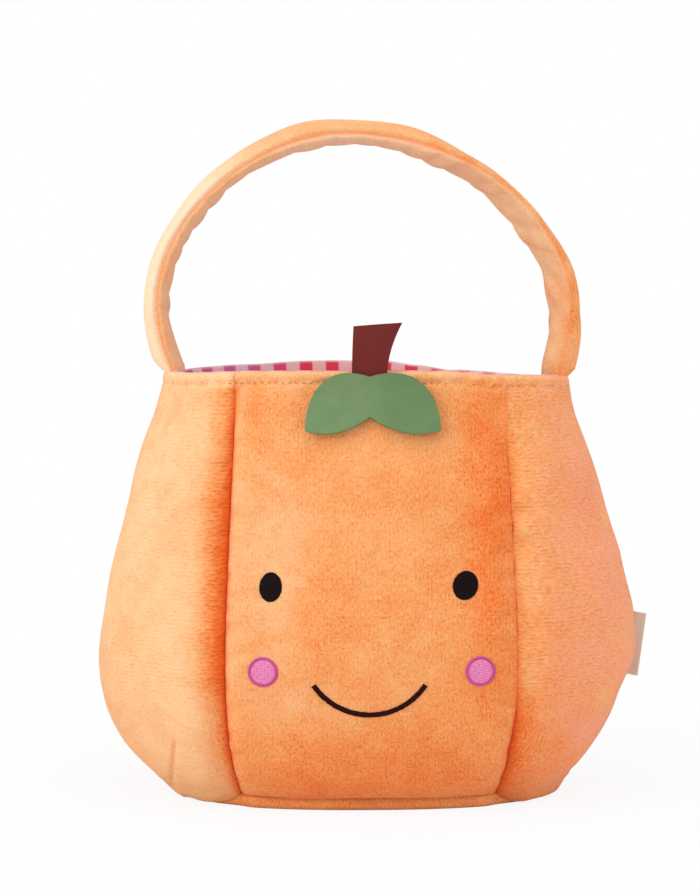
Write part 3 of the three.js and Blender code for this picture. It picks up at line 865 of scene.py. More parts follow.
@dataclass(frozen=True)
class CheckFinish(Finish):
    """Woven check: crimson in the middle, turning to magenta at the sides, on a pale ground."""

    ground: Colour = rgb(252, 222, 222)
    middle: Colour = rgb(240, 48, 82)
    flank: Colour = rgb(214, 92, 162)
    check: float = 6.5 * MM
    turn: float = 46 * MM

    def look(self, graph: Graph, cloth: Socket) -> dict[str, Value]:
        """The woven check."""
        side, rise = graph.split(cloth)
        weave = WEAVE.place(graph, cloth, pitch=0.42 * MM)
        warp, weft = (graph.step(graph.waves(run, 2.0 * self.check), -0.3, 0.3) for run in (side, rise))
        crossing = graph.plus(warp, weft)
        share = graph.times(graph.times(crossing, crossing), 0.25)
        away = graph.step(graph.maths("ABSOLUTE", side), 0.6 * self.turn, 1.35 * self.turn)
        checked = graph.mix(share, self.ground, graph.mix(away, self.middle, self.flank))
        shade = graph.step(weave["Shade"], 0.2, 0.9, 0.0, 0.12)
        return {
            "Base Color": graph.mix(shade, checked, self.ground),
            "Roughness": graph.step(weave["Height"], 0.0, 1.0, 0.92, 0.8),
            "Specular IOR Level": 0.25,
            "Normal": graph.bumped(weave["Height"], 0.1 * MM, 0.5),
        }


@dataclass(frozen=True)
class SheetFinish(Finish):
    """A pressed soft sheet with a fine grain, darker at its cut edge and where the mark edge is high."""

    light: Colour
    dark: Colour
    rough: float = 0.75
    size: float = 0.7 * MM

    def look(self, graph: Graph, cloth: Socket) -> dict[str, Value]:
        """The sheet, which reads the mark edge."""
        grain = GRAIN.place(graph, cloth, size=self.size)
        body = graph.mix(graph.step(grain["Shade"], 0.3, 0.7, 0.62, 0.98), self.dark, self.light)
        return {
            "Base Color": graph.mix(graph.times(graph.mark("edge"), 0.5), body, self.dark),
            "Roughness": graph.step(grain["Shade"], 0.2, 0.8, self.rough + 0.1, self.rough - 0.05),
            "Specular IOR Level": 0.2,
            "Normal": graph.bumped(grain["Height"], 0.15 * MM, 0.35),
        }


@dataclass(frozen=True)
class TapeFinish(Finish):
    """Woven tape, tan beside its seam and paler towards the fold."""

    tan: Colour = rgb(184, 146, 120)
    pale: Colour = rgb(233, 214, 196)
    yarn: Colour = rgb(160, 124, 92)

    def look(self, graph: Graph, cloth: Socket) -> dict[str, Value]:
        """The tape, which reads the mark fold, 0 in the seam and 1 at the fold."""
        weave = WEAVE.place(graph, cloth, pitch=0.4 * MM)
        body = graph.mix(graph.step(graph.mark("fold"), 0.42, 0.6), self.tan, self.pale)
        return {
            "Base Color": graph.mix(graph.step(weave["Shade"], 0.2, 0.9, 0.35, 0.0), body, self.yarn),
            "Roughness": graph.step(weave["Height"], 0.0, 1.0, 0.8, 0.6),
            "Normal": graph.bumped(weave["Height"], 0.12 * MM, 0.7),
        }


@dataclass(frozen=True)
class WaddingFinish(Finish):
    """Loose polyester wadding, which the cloth hides."""

    white: Colour = rgb(240, 238, 232)
    shadow: Colour = rgb(212, 208, 200)

    def look(self, graph: Graph, cloth: Socket) -> dict[str, Value]:
        """The wadding."""
        grain = GRAIN.place(graph, cloth, size=1.6 * MM)
        shade = graph.step(grain["Shade"], 0.3, 0.7)
        return {
            "Base Color": graph.mix(shade, self.shadow, self.white),
            "Roughness": graph.step(shade, 0.0, 1.0, 1.0, 0.9),
            "Normal": graph.bumped(grain["Height"], 0.6 * MM),
        }


# x, z, half-width and half-height in mm, and the light painted there: lighter above 0 on the lit left of the
# face, and painted shade below 0 on its right side, at its foot and on the right gore
PAINTED_LIGHT_MARKS = (
    (-54.0, 190.0, 9.0, 14.0, -0.2),
    (-62.0, 112.0, 11.0, 90.0, 0.08),
    (-43.0, 112.0, 17.0, 80.0, 0.24),
    (57.0, 150.0, 18.0, 62.0, -0.4),
    (48.0, 184.0, 14.0, 18.0, -0.14),
    (58.0, 70.0, 16.0, 50.0, -0.18),
    (103.0, 145.0, 9.0, 22.0, -0.16),
    (112.0, 92.0, 22.0, 46.0, 0.05),
    (92.0, 32.0, 26.0, 24.0, -0.14),
    (0.0, 20.0, 74.0, 26.0, -0.3),
    (0.0, 180.0, 40.0, 24.0, 0.06),
)


@dataclass
class PlushBody:
    """The six padded panels, each a closed pillow of plush over wadding."""

    shape: BodyShape
    cloth_rows: int = 112
    foot_rows: int = 15
    depth: float = 5.5 * MM
    crease: float = 2.4 * MM
    seam_fill: float = 1.3 * MM
    crease_width: float = 1.8 * MM
    crest: float = 2.2 * MM
    pucker: float = 1.0 * MM
    pucker_reach: float = 7 * MM
    waves: float = 0.6 * MM
    stitch_drop: float = 5 * MM
    groove: float = 0.8 * MM
    groove_width: float = 1.4 * MM
    dart_foot: Pair = (94 * MM, 8 * MM)
    dart_top: Pair = (90.5 * MM, 36 * MM)
    dart_depth: float = 1.6 * MM
    dart_width: float = 0.7 * MM
    tuck_inset: float = 2.7 * MM
    gore_low: float = 0.9 * MM
    face_low: float = 6.3 * MM
    seam_low: float = 6.6 * MM
    trees: dict[str, BVHTree] = field(default_factory=dict)

    def row_heights(self) -> Array:
        """Heights of the wall's rows, closer together at the rim's stitching."""
        hem = self.shape.rim_height - 11 * MM
        top = self.shape.rim_height - self.depth / 2
        wall = np.linspace(self.shape.foot_height, hem, self.cloth_rows - 20)
        return np.concatenate([wall, np.linspace(hem, top, 16)[1:]])

    def flank(self, angle: Array, height: Array) -> Array:
        """How far the two sides sag out of or into the even oval."""
        right = smooth(np.sin(angle), 0.72, 0.97)
        left = smooth(-np.sin(angle), 0.72, 0.97)
        return right * eased(height, RIGHT_FLANK) + left * eased(height, LEFT_FLANK)

    def hem(self, height: Array) -> Array:
        """1 in the turned hem, and 0 below it."""
        return smooth(height, self.shape.rim_height - 9 * MM, self.shape.rim_height - 5 * MM)

    def dart(self, place: Array) -> Array:
        """How deep the sewn dart in the lower part of a left gore is at points."""
        side, rise = np.abs(place[..., 0]), place[..., 2]
        strength = np.where(place[..., 0] < 0.0, 1.0, 0.0)
        (foot_x, foot_z), (top_x, top_z) = self.dart_foot, self.dart_top
        line = foot_x + (top_x - foot_x) * (rise - foot_z) / (top_z - foot_z)
        along = smooth(top_z - rise, 0.0, 5 * MM)
        return self.dart_depth * bell(side - line, self.dart_width) * along * strength

    def relief(self, plan: PanelPlan, across: Array, height: Array, arc: Array, angle: Array) -> Array:
        """How far the plush stands out of the oval section.

        Args:
            plan: The panel.
            across: Shares from its start seam to its end seam.
            height: Heights above the floor.
            arc: Distances along the wall from its start seam.
            angle: Angles from the front.

        Returns:
            A distance for each place.
        """
        shape = self.shape
        width = arc[..., -1:]
        seam = np.minimum(arc, width - arc)
        top = smooth(shape.rim_height - height, 0.0, shape.puff_top_run)
        foot = smooth(height, shape.foot_height - 6 * MM, shape.foot_height + 9 * MM)
        out = plan.puff * pillow(across) * top * (0.72 + 0.28 * foot)
        hem = self.hem(height)
        crest_at, crest_width = (13 * MM, 10 * MM) if plan.is_gore else (9 * MM, 8 * MM)
        fade = 1.0 - 0.75 * hem
        for edge, distance, seed in ((plan.start, arc, 0), (plan.end, width - arc, 1)):
            ridge = bell(distance - crest_at, crest_width)
            out += edge.pull * self.crest * ridge * top * foot
            crease = self.crease * np.exp(-distance / self.crease_width)
            if edge is FACE_RIGHT:
                high = smooth(height, 26 * MM, 58 * MM)
                crease = crease * (1.0 - high) - self.seam_fill * np.exp(-distance / (3 * MM)) * high
            out -= edge.pull * crease * fade
            gathers = Ripple(plan.seed * 7 + seed, 8 * MM, across=3.0).at(distance, height)
            reach = np.exp(-distance / self.pucker_reach) * (1.0 - np.exp(-distance / (1.5 * MM)))
            out += edge.pull * self.pucker * gathers * reach * foot
        inside = 1.0 - np.exp(-seam / (12 * MM))
        low_waves = Ripple(plan.seed, 46 * MM).at(arc - width / 2, height)
        out += self.waves * low_waves * inside * top * foot
        return out + self.flank(angle, height)

    def hem_relief(self, angle: Array, height: Array) -> Array:
        """The groove that the topstitching pulls into the rim, with its puckers."""
        drop = self.shape.rim_height - self.stitch_drop - height
        along = np.mod(angle + QUARTER, TURN) * self.shape.rim_half_width
        gathers = Ripple(301, 6.5 * MM).at(along, np.zeros_like(along))
        groove = -self.groove * bell(drop, self.groove_width) * (1.0 + 0.5 * gathers)
        radiating = 0.36 * MM * gathers * np.exp(-np.abs(drop) / (4.5 * MM)) * (1.0 - bell(drop, 0.8 * MM))
        roll = 0.35 * MM * bell(drop + 3.2 * MM, 2.2 * MM)
        ahead = 1.0 - 0.8 * smooth(np.abs(np.sin(angle)), 0.93, 0.995)
        return (groove + radiating + roll) * ahead

    def outer(self, plan: PanelPlan, across: Array, height: Array) -> tuple[Array, Array, Array]:
        """The plush surface.

        Args:
            plan: The panel.
            across: Shares from seam to seam.
            height: Heights above the floor.

        Returns:
            The angles from the front, the distances along the wall, and how far each place stands out.
        """
        start, end = plan.start.angle(self.shape, height), plan.end.angle(self.shape, height)
        angle = start + (end - start) * across
        arc = self.shape.arc(angle, height)
        out = self.relief(plan, across, height, arc, angle) + self.hem_relief(angle, height)
        if plan.is_gore:
            out = out - self.dart(self.shape.wall(angle, height, out))
        return angle, arc, out

    def foot(self, plan: PanelPlan, across: Array, angle: Array, out: Array, slope: Array) -> Array:
        """The plush below the wall: down to its lowest line, under, and up to the base's seam.

        Args:
            plan: The panel.
            across: Shares from seam to seam along one row.
            angle: The row's angles from the front.
            out: How far the wall's lowest row stands out.
            slope: How fast the wall draws in there, going down.

        Returns:
            Rows of points, from the base's seam up to the wall's lowest row, which is left out.
        """
        full = np.ones_like(across)
        for edge, share in ((plan.start, across), (plan.end, 1.0 - across)):
            full *= 1.0 - edge.pull * (1.0 - share) ** 12.0
        lowest = self.gore_low if plan.is_gore else self.face_low
        sag = Ripple(plan.seed * 3, 30 * MM).at(across * 0.1, np.zeros_like(across))
        low = self.seam_low + (lowest + 0.3 * MM * sag - self.seam_low) * full
        top = np.full_like(low, self.shape.foot_height)
        control = (low - top / 4.0) / 0.75
        inset = np.full_like(low, -self.tuck_inset)
        lean = np.maximum(out - slope * (top - control), inset - 0.3 * MM)
        rows = []
        for t in np.linspace(0.0, 1.0, self.foot_rows + 1)[:-1]:
            r = 1.0 - t
            side = r**3 * inset + 3 * r * r * t * (inset - 0.7 * MM) + 3 * r * t * t * lean + t**3 * out
            rise = r**3 * top + 3 * r * r * t * control + 3 * r * t * t * control + t**3 * top
            line = self.shape.wall(angle, top, side)
            line[:, 2] = rise
            rows.append(line)
        return np.stack(rows)

    def surface(self, plan: PanelPlan) -> Surface:
        """The closed pillow of one panel: out over the wall, over the rim's fold, and down its back."""
        rows = self.row_heights()
        radius = self.depth / 2
        turns = np.radians([16.0, 32.0, 48.0, 64.0, 80.0])
        heights = np.concatenate([rows, np.full(len(turns), rows[-1])])
        fold = np.concatenate([np.zeros(len(rows)), turns])
        share = 0.5 - 0.5 * np.cos(math.pi * np.linspace(0.0, 1.0, plan.columns + 1))
        even = np.linspace(0.0, 1.0, plan.columns + 1)
        across, height = np.meshgrid(0.45 * share + 0.55 * even, heights)
        turn = np.repeat(fold[:, None], plan.columns + 1, 1)
        angle, arc, out = self.outer(plan, across, height)
        rise = radius * np.sin(turn)
        front = self.shape.wall(angle, height, out - radius * (1.0 - np.cos(turn)))
        back = self.shape.wall(angle, height, -radius * (1.0 + np.cos(turn)))
        shift = self.shape.rim_lift(angle, height)
        front[..., 2] += rise + shift
        back[..., 2] += rise + shift
        reach = np.linalg.norm(front[:2, :, :2], axis=-1)
        slope = np.clip((reach[1] - reach[0]) / (front[1, :, 2] - front[0, :, 2]), 0.3, 2.5)
        front = np.concatenate([self.foot(plan, across[0], angle[0], out[0], slope), front])
        back = np.concatenate([np.repeat(back[:1], self.foot_rows, 0), back])
        back[: self.foot_rows, :, 2] -= np.linspace(0.4 * MM, 0.0, self.foot_rows)[:, None]
        grids = (height, arc, turn)
        height, arc, turn = (np.concatenate([np.repeat(g[:1], self.foot_rows, 0), g]) for g in grids)
        run = lengths(front[:, plan.columns // 2])
        width = arc[:, -1:]
        cloth = np.stack([arc - width / 2, np.repeat(run[:, None], plan.columns + 1, 1)], -1)
        cloth += plan.seed * 0.37
        seam = np.minimum(arc, width - arc)
        open_wall = 1.0 - self.hem(height)
        # painted highlight: the rim's fold and hem are painted paler, as the light catches them
        nap = self.nap(plan, front) + 0.2 * smooth(turn, 0.1, 1.1) + 0.12 * self.hem(height)
        # painted shade and highlights beside the seams
        for seam_light, distance in ((plan.nap_start, arc), (plan.nap_end, width - arc)):
            if seam_light:
                nap += eased(height, seam_light) * bell(distance, 9 * MM) * open_wall
        # painted sheen: the right side is painted pinkish and paler, as the grazing light from the right
        # catches it
        rose = smooth(front[..., 0], 68 * MM, 104 * MM) * smooth(-front[..., 1], -30 * MM, 0.0)
        rose *= 0.85 + 0.22 * Ripple(88, 24 * MM).at(front[..., 0], front[..., 2])
        gore_rows = 0.2 + 0.65 * smooth(front[..., 2], 40 * MM, 75 * MM)
        rows_mark = gore_rows if plan.is_gore else np.full(nap.shape, 0.3)
        # painted shade: deep in the crease along each seam, less high up at the right face seam, and deep in
        # the dart's groove
        pressed = bell(seam, 2.0 * MM) * (0.2 + 0.8 * open_wall)
        for edge, distance in ((plan.start, arc), (plan.end, width - arc)):
            if edge is FACE_RIGHT:
                pressed *= 1.0 - 0.55 * bell(distance, 8 * MM) * smooth(height, 40 * MM, 80 * MM)
        if plan.is_gore:
            pressed = np.maximum(pressed, 0.75 * self.dart(front) / self.dart_depth)
        marks = {"nap": nap, "seam": pressed, "rows": rows_mark, "rose": rose}
        return Surface.closed_sheet(front, back, cloth, marks)

    def nap(self, plan: PanelPlan, points: Array) -> Array:
        """The painted light on a panel, lighter above 0 and painted shade below 0: its own level, with the
        marked patches added on all but the back and left-back panels.
        """
        tone = np.full(points.shape[:2], plan.nap)
        if plan.start.middle > 2.0:
            return tone
        for number, (x, z, half_x, half_z, lean) in enumerate(PAINTED_LIGHT_MARKS):
            side, rise = points[..., 0] - x * MM, points[..., 2] - z * MM
            reach = np.hypot(side / (half_x * MM), rise / (half_z * MM))
            edge = Ripple(500 + number, 13 * MM).at(side, rise)
            tone += lean * (1.0 - smooth(reach + 0.05 * edge, 0.0, 1.3))
        return tone

    def build(self, material: Material) -> None:
        """Makes the six panels, and keeps a search tree of each for what is laid on it."""
        for plan in PLANS:
            surface = self.surface(plan)
            piece = surface.to_object(plan.name + "_plush", material)
            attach(piece, "basket")
            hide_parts(plan.plush_node, plan.wadding_node)
            self.trees[plan.name] = BVHTree.FromPolygons(
                [Vector(p) for p in surface.points.tolist()], [tuple(f) for f in surface.faces.tolist()]
            )


@dataclass
class Topstitch:
    """The row of thread dashes just under the rim."""

    body: PlushBody
    pitch: float = 3.4 * MM
    dash: float = 2.2 * MM
    radius: float = 0.2 * MM
    sides: int = 6
    rings: int = 7

    def path(self) -> Array:
        """Points of the stitched line all round the rim, close together."""
        points = []
        for plan in PLANS:
            across = np.linspace(0.0, 1.0, 241)
            height = np.full(241, self.body.shape.rim_height - self.body.stitch_drop)
            angle, _, out = self.body.outer(plan, across, height)
            place = self.body.shape.wall(angle, height, out)
            place[:, 2] += self.body.shape.rim_lift(angle, height)
            points.append(place[:-1])
        return np.concatenate(points)

    def build(self, material: Material) -> None:
        """Makes the dashes as one piece."""
        line = self.path()
        loop = np.concatenate([line, line[:1]])
        run = lengths(loop)
        count = int(run[-1] / self.pitch)
        draw = np.random.default_rng(5)
        joined: Surface | None = None
        starts = np.arange(count) * run[-1] / count + draw.uniform(-0.25, 0.25, count) * MM
        for start in starts:
            share = np.linspace(0.0, 1.0, self.rings)
            at = start + share * self.dash
            middle = np.stack([np.interp(at, run, loop[:, k], period=run[-1]) for k in range(3)], -1)
            along = np.gradient(middle, axis=0)
            along /= np.linalg.norm(along, axis=1)[:, None]
            outward = np.stack([along[:, 1], -along[:, 0], np.zeros(self.rings)], -1)
            arch = np.sin(math.pi * share)
            sunk = draw.uniform(0.0, 0.3) * MM
            middle = middle + outward * ((0.55 * arch - 0.25) * self.radius * 2 - sunk)[:, None]
            turns = TURN * np.arange(self.sides) / self.sides
            size = self.radius * (0.55 + 0.45 * arch)
            up = np.array([0.0, 0.0, 1.0])
            ring = np.cos(turns)[None, :, None] * outward[:, None] + np.sin(turns)[None, :, None] * up
            rings = middle[:, None] + ring * size[:, None, None]
            cloth = np.stack(np.broadcast_arrays(at[:, None], turns[None, :] * self.radius), -1)
            piece = Surface.ring_loft(rings, cloth)
            joined = piece if joined is None else joined.joined(piece)
        stitches = joined.to_object("rim_topstitch", material)
        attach(stitches, "basket")


@dataclass
class Base:
    """The plush base with its rolled edge, and the pad over the board."""

    shape: BodyShape
    around: int = 240
    roll: float = 4 * MM
    thickness: float = 2.2 * MM
    top: float = 7 * MM
    pad_low: float = 4.8 * MM
    pad_high: float = 8.4 * MM
    pad_inset: float = 5.8 * MM
    gore_inset: float = 3.0 * MM

    def ring(self, inset: float, height: float) -> Array:
        """A ring of points inside the body's foot by an inset, at a height."""
        angle = TURN * np.arange(self.around) / self.around
        points = self.shape.wall(angle, np.full(self.around, self.shape.foot_height), -inset)
        points[:, 2] = height
        return points

    def plush(self) -> Surface:
        """The dish: flat below, rolled up at the edge, and back down inside."""
        steps = [(34 * MM, 0.05 * MM), (20 * MM, 0.0), (11 * MM, 0.0), (6.5 * MM, 0.0)]
        for turn in np.linspace(0.0, 1.0, 8):
            inset = self.roll * (1.0 - math.sin(turn * QUARTER))
            lift = self.roll * (1.0 - math.cos(turn * QUARTER))
            steps.append((inset - 0.5 * MM * math.sin(turn * math.pi), lift))
        for turn in np.linspace(0.2, 1.0, 6):
            lift = self.roll + (self.top - self.roll) * math.sin(turn * QUARTER)
            steps.append((2.0 * MM * (1.0 - math.cos(turn * QUARTER)), lift))
        steps += [(self.thickness + 0.4 * MM, self.top - 0.3 * MM), (self.thickness, self.roll)]
        steps += [(self.roll, self.thickness), (11 * MM, self.thickness), (34 * MM, self.thickness)]
        rings = np.stack([self.ring(inset, height) for inset, height in steps])
        sag = Ripple(41, 16 * MM).at(rings[..., 0], rings[..., 1])
        middle = np.linalg.norm(rings[..., :2], axis=-1, keepdims=True)
        rolled = smooth(rings[..., 2], 0.5 * MM, 4 * MM) * 0.35 * MM * sag
        near_edge = (1.0 - smooth(np.array([inset for inset, _ in steps]), 6 * MM, 20 * MM))[:, None]
        from_gore = np.abs(np.sin(TURN * np.arange(self.around) / self.around))
        rolled = rolled - self.gore_inset * smooth(from_gore, 0.54, 0.66) * near_edge
        rings[..., :2] *= 1.0 + rolled[..., None] / middle
        run = np.concatenate([[0.0], np.cumsum(np.hypot(*np.diff(np.array(steps), axis=0).T))])
        direction = rings[..., :2] / middle
        cloth = rings[:1, :, :2] + direction * run[:, None, None]
        # painted shade: the base is painted a little darker, and deep where its roll tucks under the panels
        seam = np.repeat(smooth(np.array([s[1] for s in steps]), 5.2 * MM, 7 * MM)[:, None], self.around, 1)
        marks = {"nap": np.full(seam.shape, -0.05), "seam": 0.9 * seam}
        return Surface.ring_loft(rings, cloth, marks)

    def pad(self) -> Surface:
        """The soft pad between the board and the lining."""
        low, high, inset = self.pad_low, self.pad_high, self.pad_inset
        middle, shoulder = (low + high) / 2, inset + 1.5 * MM
        steps = [(40 * MM, low), (shoulder, low), (inset, middle), (shoulder, high), (40 * MM, high)]
        rings = np.stack([self.ring(reach, height) for reach, height in steps])
        return Surface.ring_loft(rings, rings[..., :2])

    def build(self, plush: Material, wadding: Material) -> None:
        """Makes both pieces."""
        for name, surface, material, node, slot in (
            ("base_plush", self.plush(), plush, "base_panel", Slot.PLUSH),
            ("base_pad", self.pad(), wadding, "base_wadding", Slot.WADDING),
        ):
            piece = surface.to_object(name, material)
            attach(piece, "basket")
            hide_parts(node)


@dataclass
class Lining:
    """The check lining: a front and a back half, and a base."""

    shape: BodyShape
    depth: float = 5.8 * MM
    thickness: float = 0.8 * MM
    foot: float = 9.2 * MM
    floor: float = 8.7 * MM
    top_drop: float = -0.3 * MM
    slack: float = 0.7 * MM
    top_band: float = 0.6 * MM
    roll: float = 2.2 * MM
    phase: float = 1.0 * MM
    rows: int = 64
    columns: int = 150

    def half(self, start: float, seed: int) -> tuple[Surface, float, float, float]:
        """One half of the wall's lining.

        Args:
            start: The angle of its first side seam.
            seed: Chooses its unevenness.

        Returns:
            The surface, its cut's width, length and flat area.
        """
        heights = np.linspace(self.foot, self.shape.rim_height - self.top_drop, self.rows)
        share = np.linspace(0.0, 1.0, self.columns + 1)
        across, height = np.meshgrid(share, heights)
        angle = start + math.pi * across
        flat = self.shape.wall(angle, height, -self.depth)
        arc = self.shape.arc(angle, height, -self.depth)
        width = arc[:, -1]
        run = lengths(flat[:, self.columns // 2])
        drop = np.repeat(run[-1] - run[:, None], self.columns + 1, 1)
        cloth = np.stack([arc - width[:, None] / 2 + self.phase, drop - self.top_band], -1)
        loose = smooth(self.shape.rim_height - height, 4 * MM, 30 * MM) * smooth(height, self.foot, 24 * MM)
        loose = loose * np.sin(math.pi * across) ** 0.3
        sag = self.slack * (1.2 + Ripple(seed, 34 * MM, across=0.7).at(cloth[..., 0], cloth[..., 1])) * loose
        sag = np.maximum(sag, 0.0)
        rolled = self.roll * smooth(height, self.shape.rim_height - 5 * MM, self.shape.rim_height)
        outer = self.shape.wall(angle, height, -self.depth - sag + rolled)
        inner = self.shape.wall(angle, height, -self.depth - self.thickness - sag + rolled)
        lift = self.shape.rim_lift(angle, height)
        outer[..., 2] += lift
        inner[..., 2] += lift
        area = float(((width[1:] + width[:-1]) / 2 * np.diff(run)).sum())
        return Surface.closed_sheet(outer, inner, cloth), float(width.max()), float(run[-1]), area

    def floor_surface(self) -> tuple[Surface, float, float, float]:
        """The lining's base.

        Returns:
            The surface, its cut's width, length and flat area.
        """
        base = Base(self.shape)
        insets = np.array([self.depth - 1.0 * MM, 12 * MM, 22 * MM, 34 * MM, 46 * MM])
        low = [base.ring(inset, self.floor) for inset in insets[::-1]]
        high = [base.ring(inset, self.floor + self.thickness) for inset in insets]
        rings = np.stack(low + high)
        half_width = self.shape.base_half_width - insets[0]
        half_depth = self.shape.base_half_depth - insets[0]
        x, y = high[0][:, 0], high[0][:, 1]
        area = 0.5 * abs(float(np.sum(x * np.roll(y, -1) - y * np.roll(x, -1))))
        return Surface.ring_loft(rings, rings[..., :2]), 2 * half_width, 2 * half_depth, area

    def build(self, material: Material) -> None:
        """Makes the three pieces."""
        parts = (
            ("lining_front_cloth", self.half(-QUARTER, 21), "lining_front", "hung", ["front_plush"]),
            ("lining_back_cloth", self.half(QUARTER, 22), "lining_back", "hung", ["back_plush"]),
            ("lining_base_cloth", self.floor_surface(), "lining_base", "laid", ["base_pad"]),
        )
        for name, (surface, width, length, area), node, held, rests_on in parts:
            piece = surface.to_object(name, material)
            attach(piece, "basket")
            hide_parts(node)
            LOG.info("%s is cut %.3f by %.3f m", name, width, length)


# shares of the handle's length from its left root, and distances there
HANDLE_HALF_THICKNESS = in_units(
    (0.0, 6.2), (0.12, 6.0), (0.3, 5.3), (0.5, 6.0), (0.66, 5.6), (0.84, 6.9), (1.0, 8.5),
    height=MM,
)
HANDLE_OUTER_SWELL = in_units(
    (0.0, 0.8), (0.05, 1.1), (0.12, 0.0), (0.22, 0.0), (0.3, 1.3), (0.4, 1.5), (0.48, 0.3), (0.57, 1.9),
    (0.66, 0.0), (0.74, -1.7), (0.8, -1.2), (0.86, 0.0), (1.0, 0.7),
    height=MM,
)
HANDLE_INNER_SWELL = in_units(
    (0.1, 0.0), (0.22, 0.7), (0.3, 0.0), (0.6, 0.0), (0.72, -2.0), (0.82, -2.0), (1.0, -1.5),
    height=MM,
)
HANDLE_SHIFT = in_units((0.0, -0.5), (0.1, 0.0), (0.86, 0.0), (1.0, -2.2), height=MM)
# the same shares, and the light painted on each strip: the lit outer strip palest on the left leg, and the
# shaded inner strip painted paler
HANDLE_OUTER_PAINTED_LIGHT = ((0.24, 1.0), (0.4, 0.3), (0.52, 0.2), (0.8, 0.06))
HANDLE_INNER_PAINTED_LIGHT = ((0.1, 0.6), (0.5, 0.85), (0.75, 0.5), (0.9, 0.35))


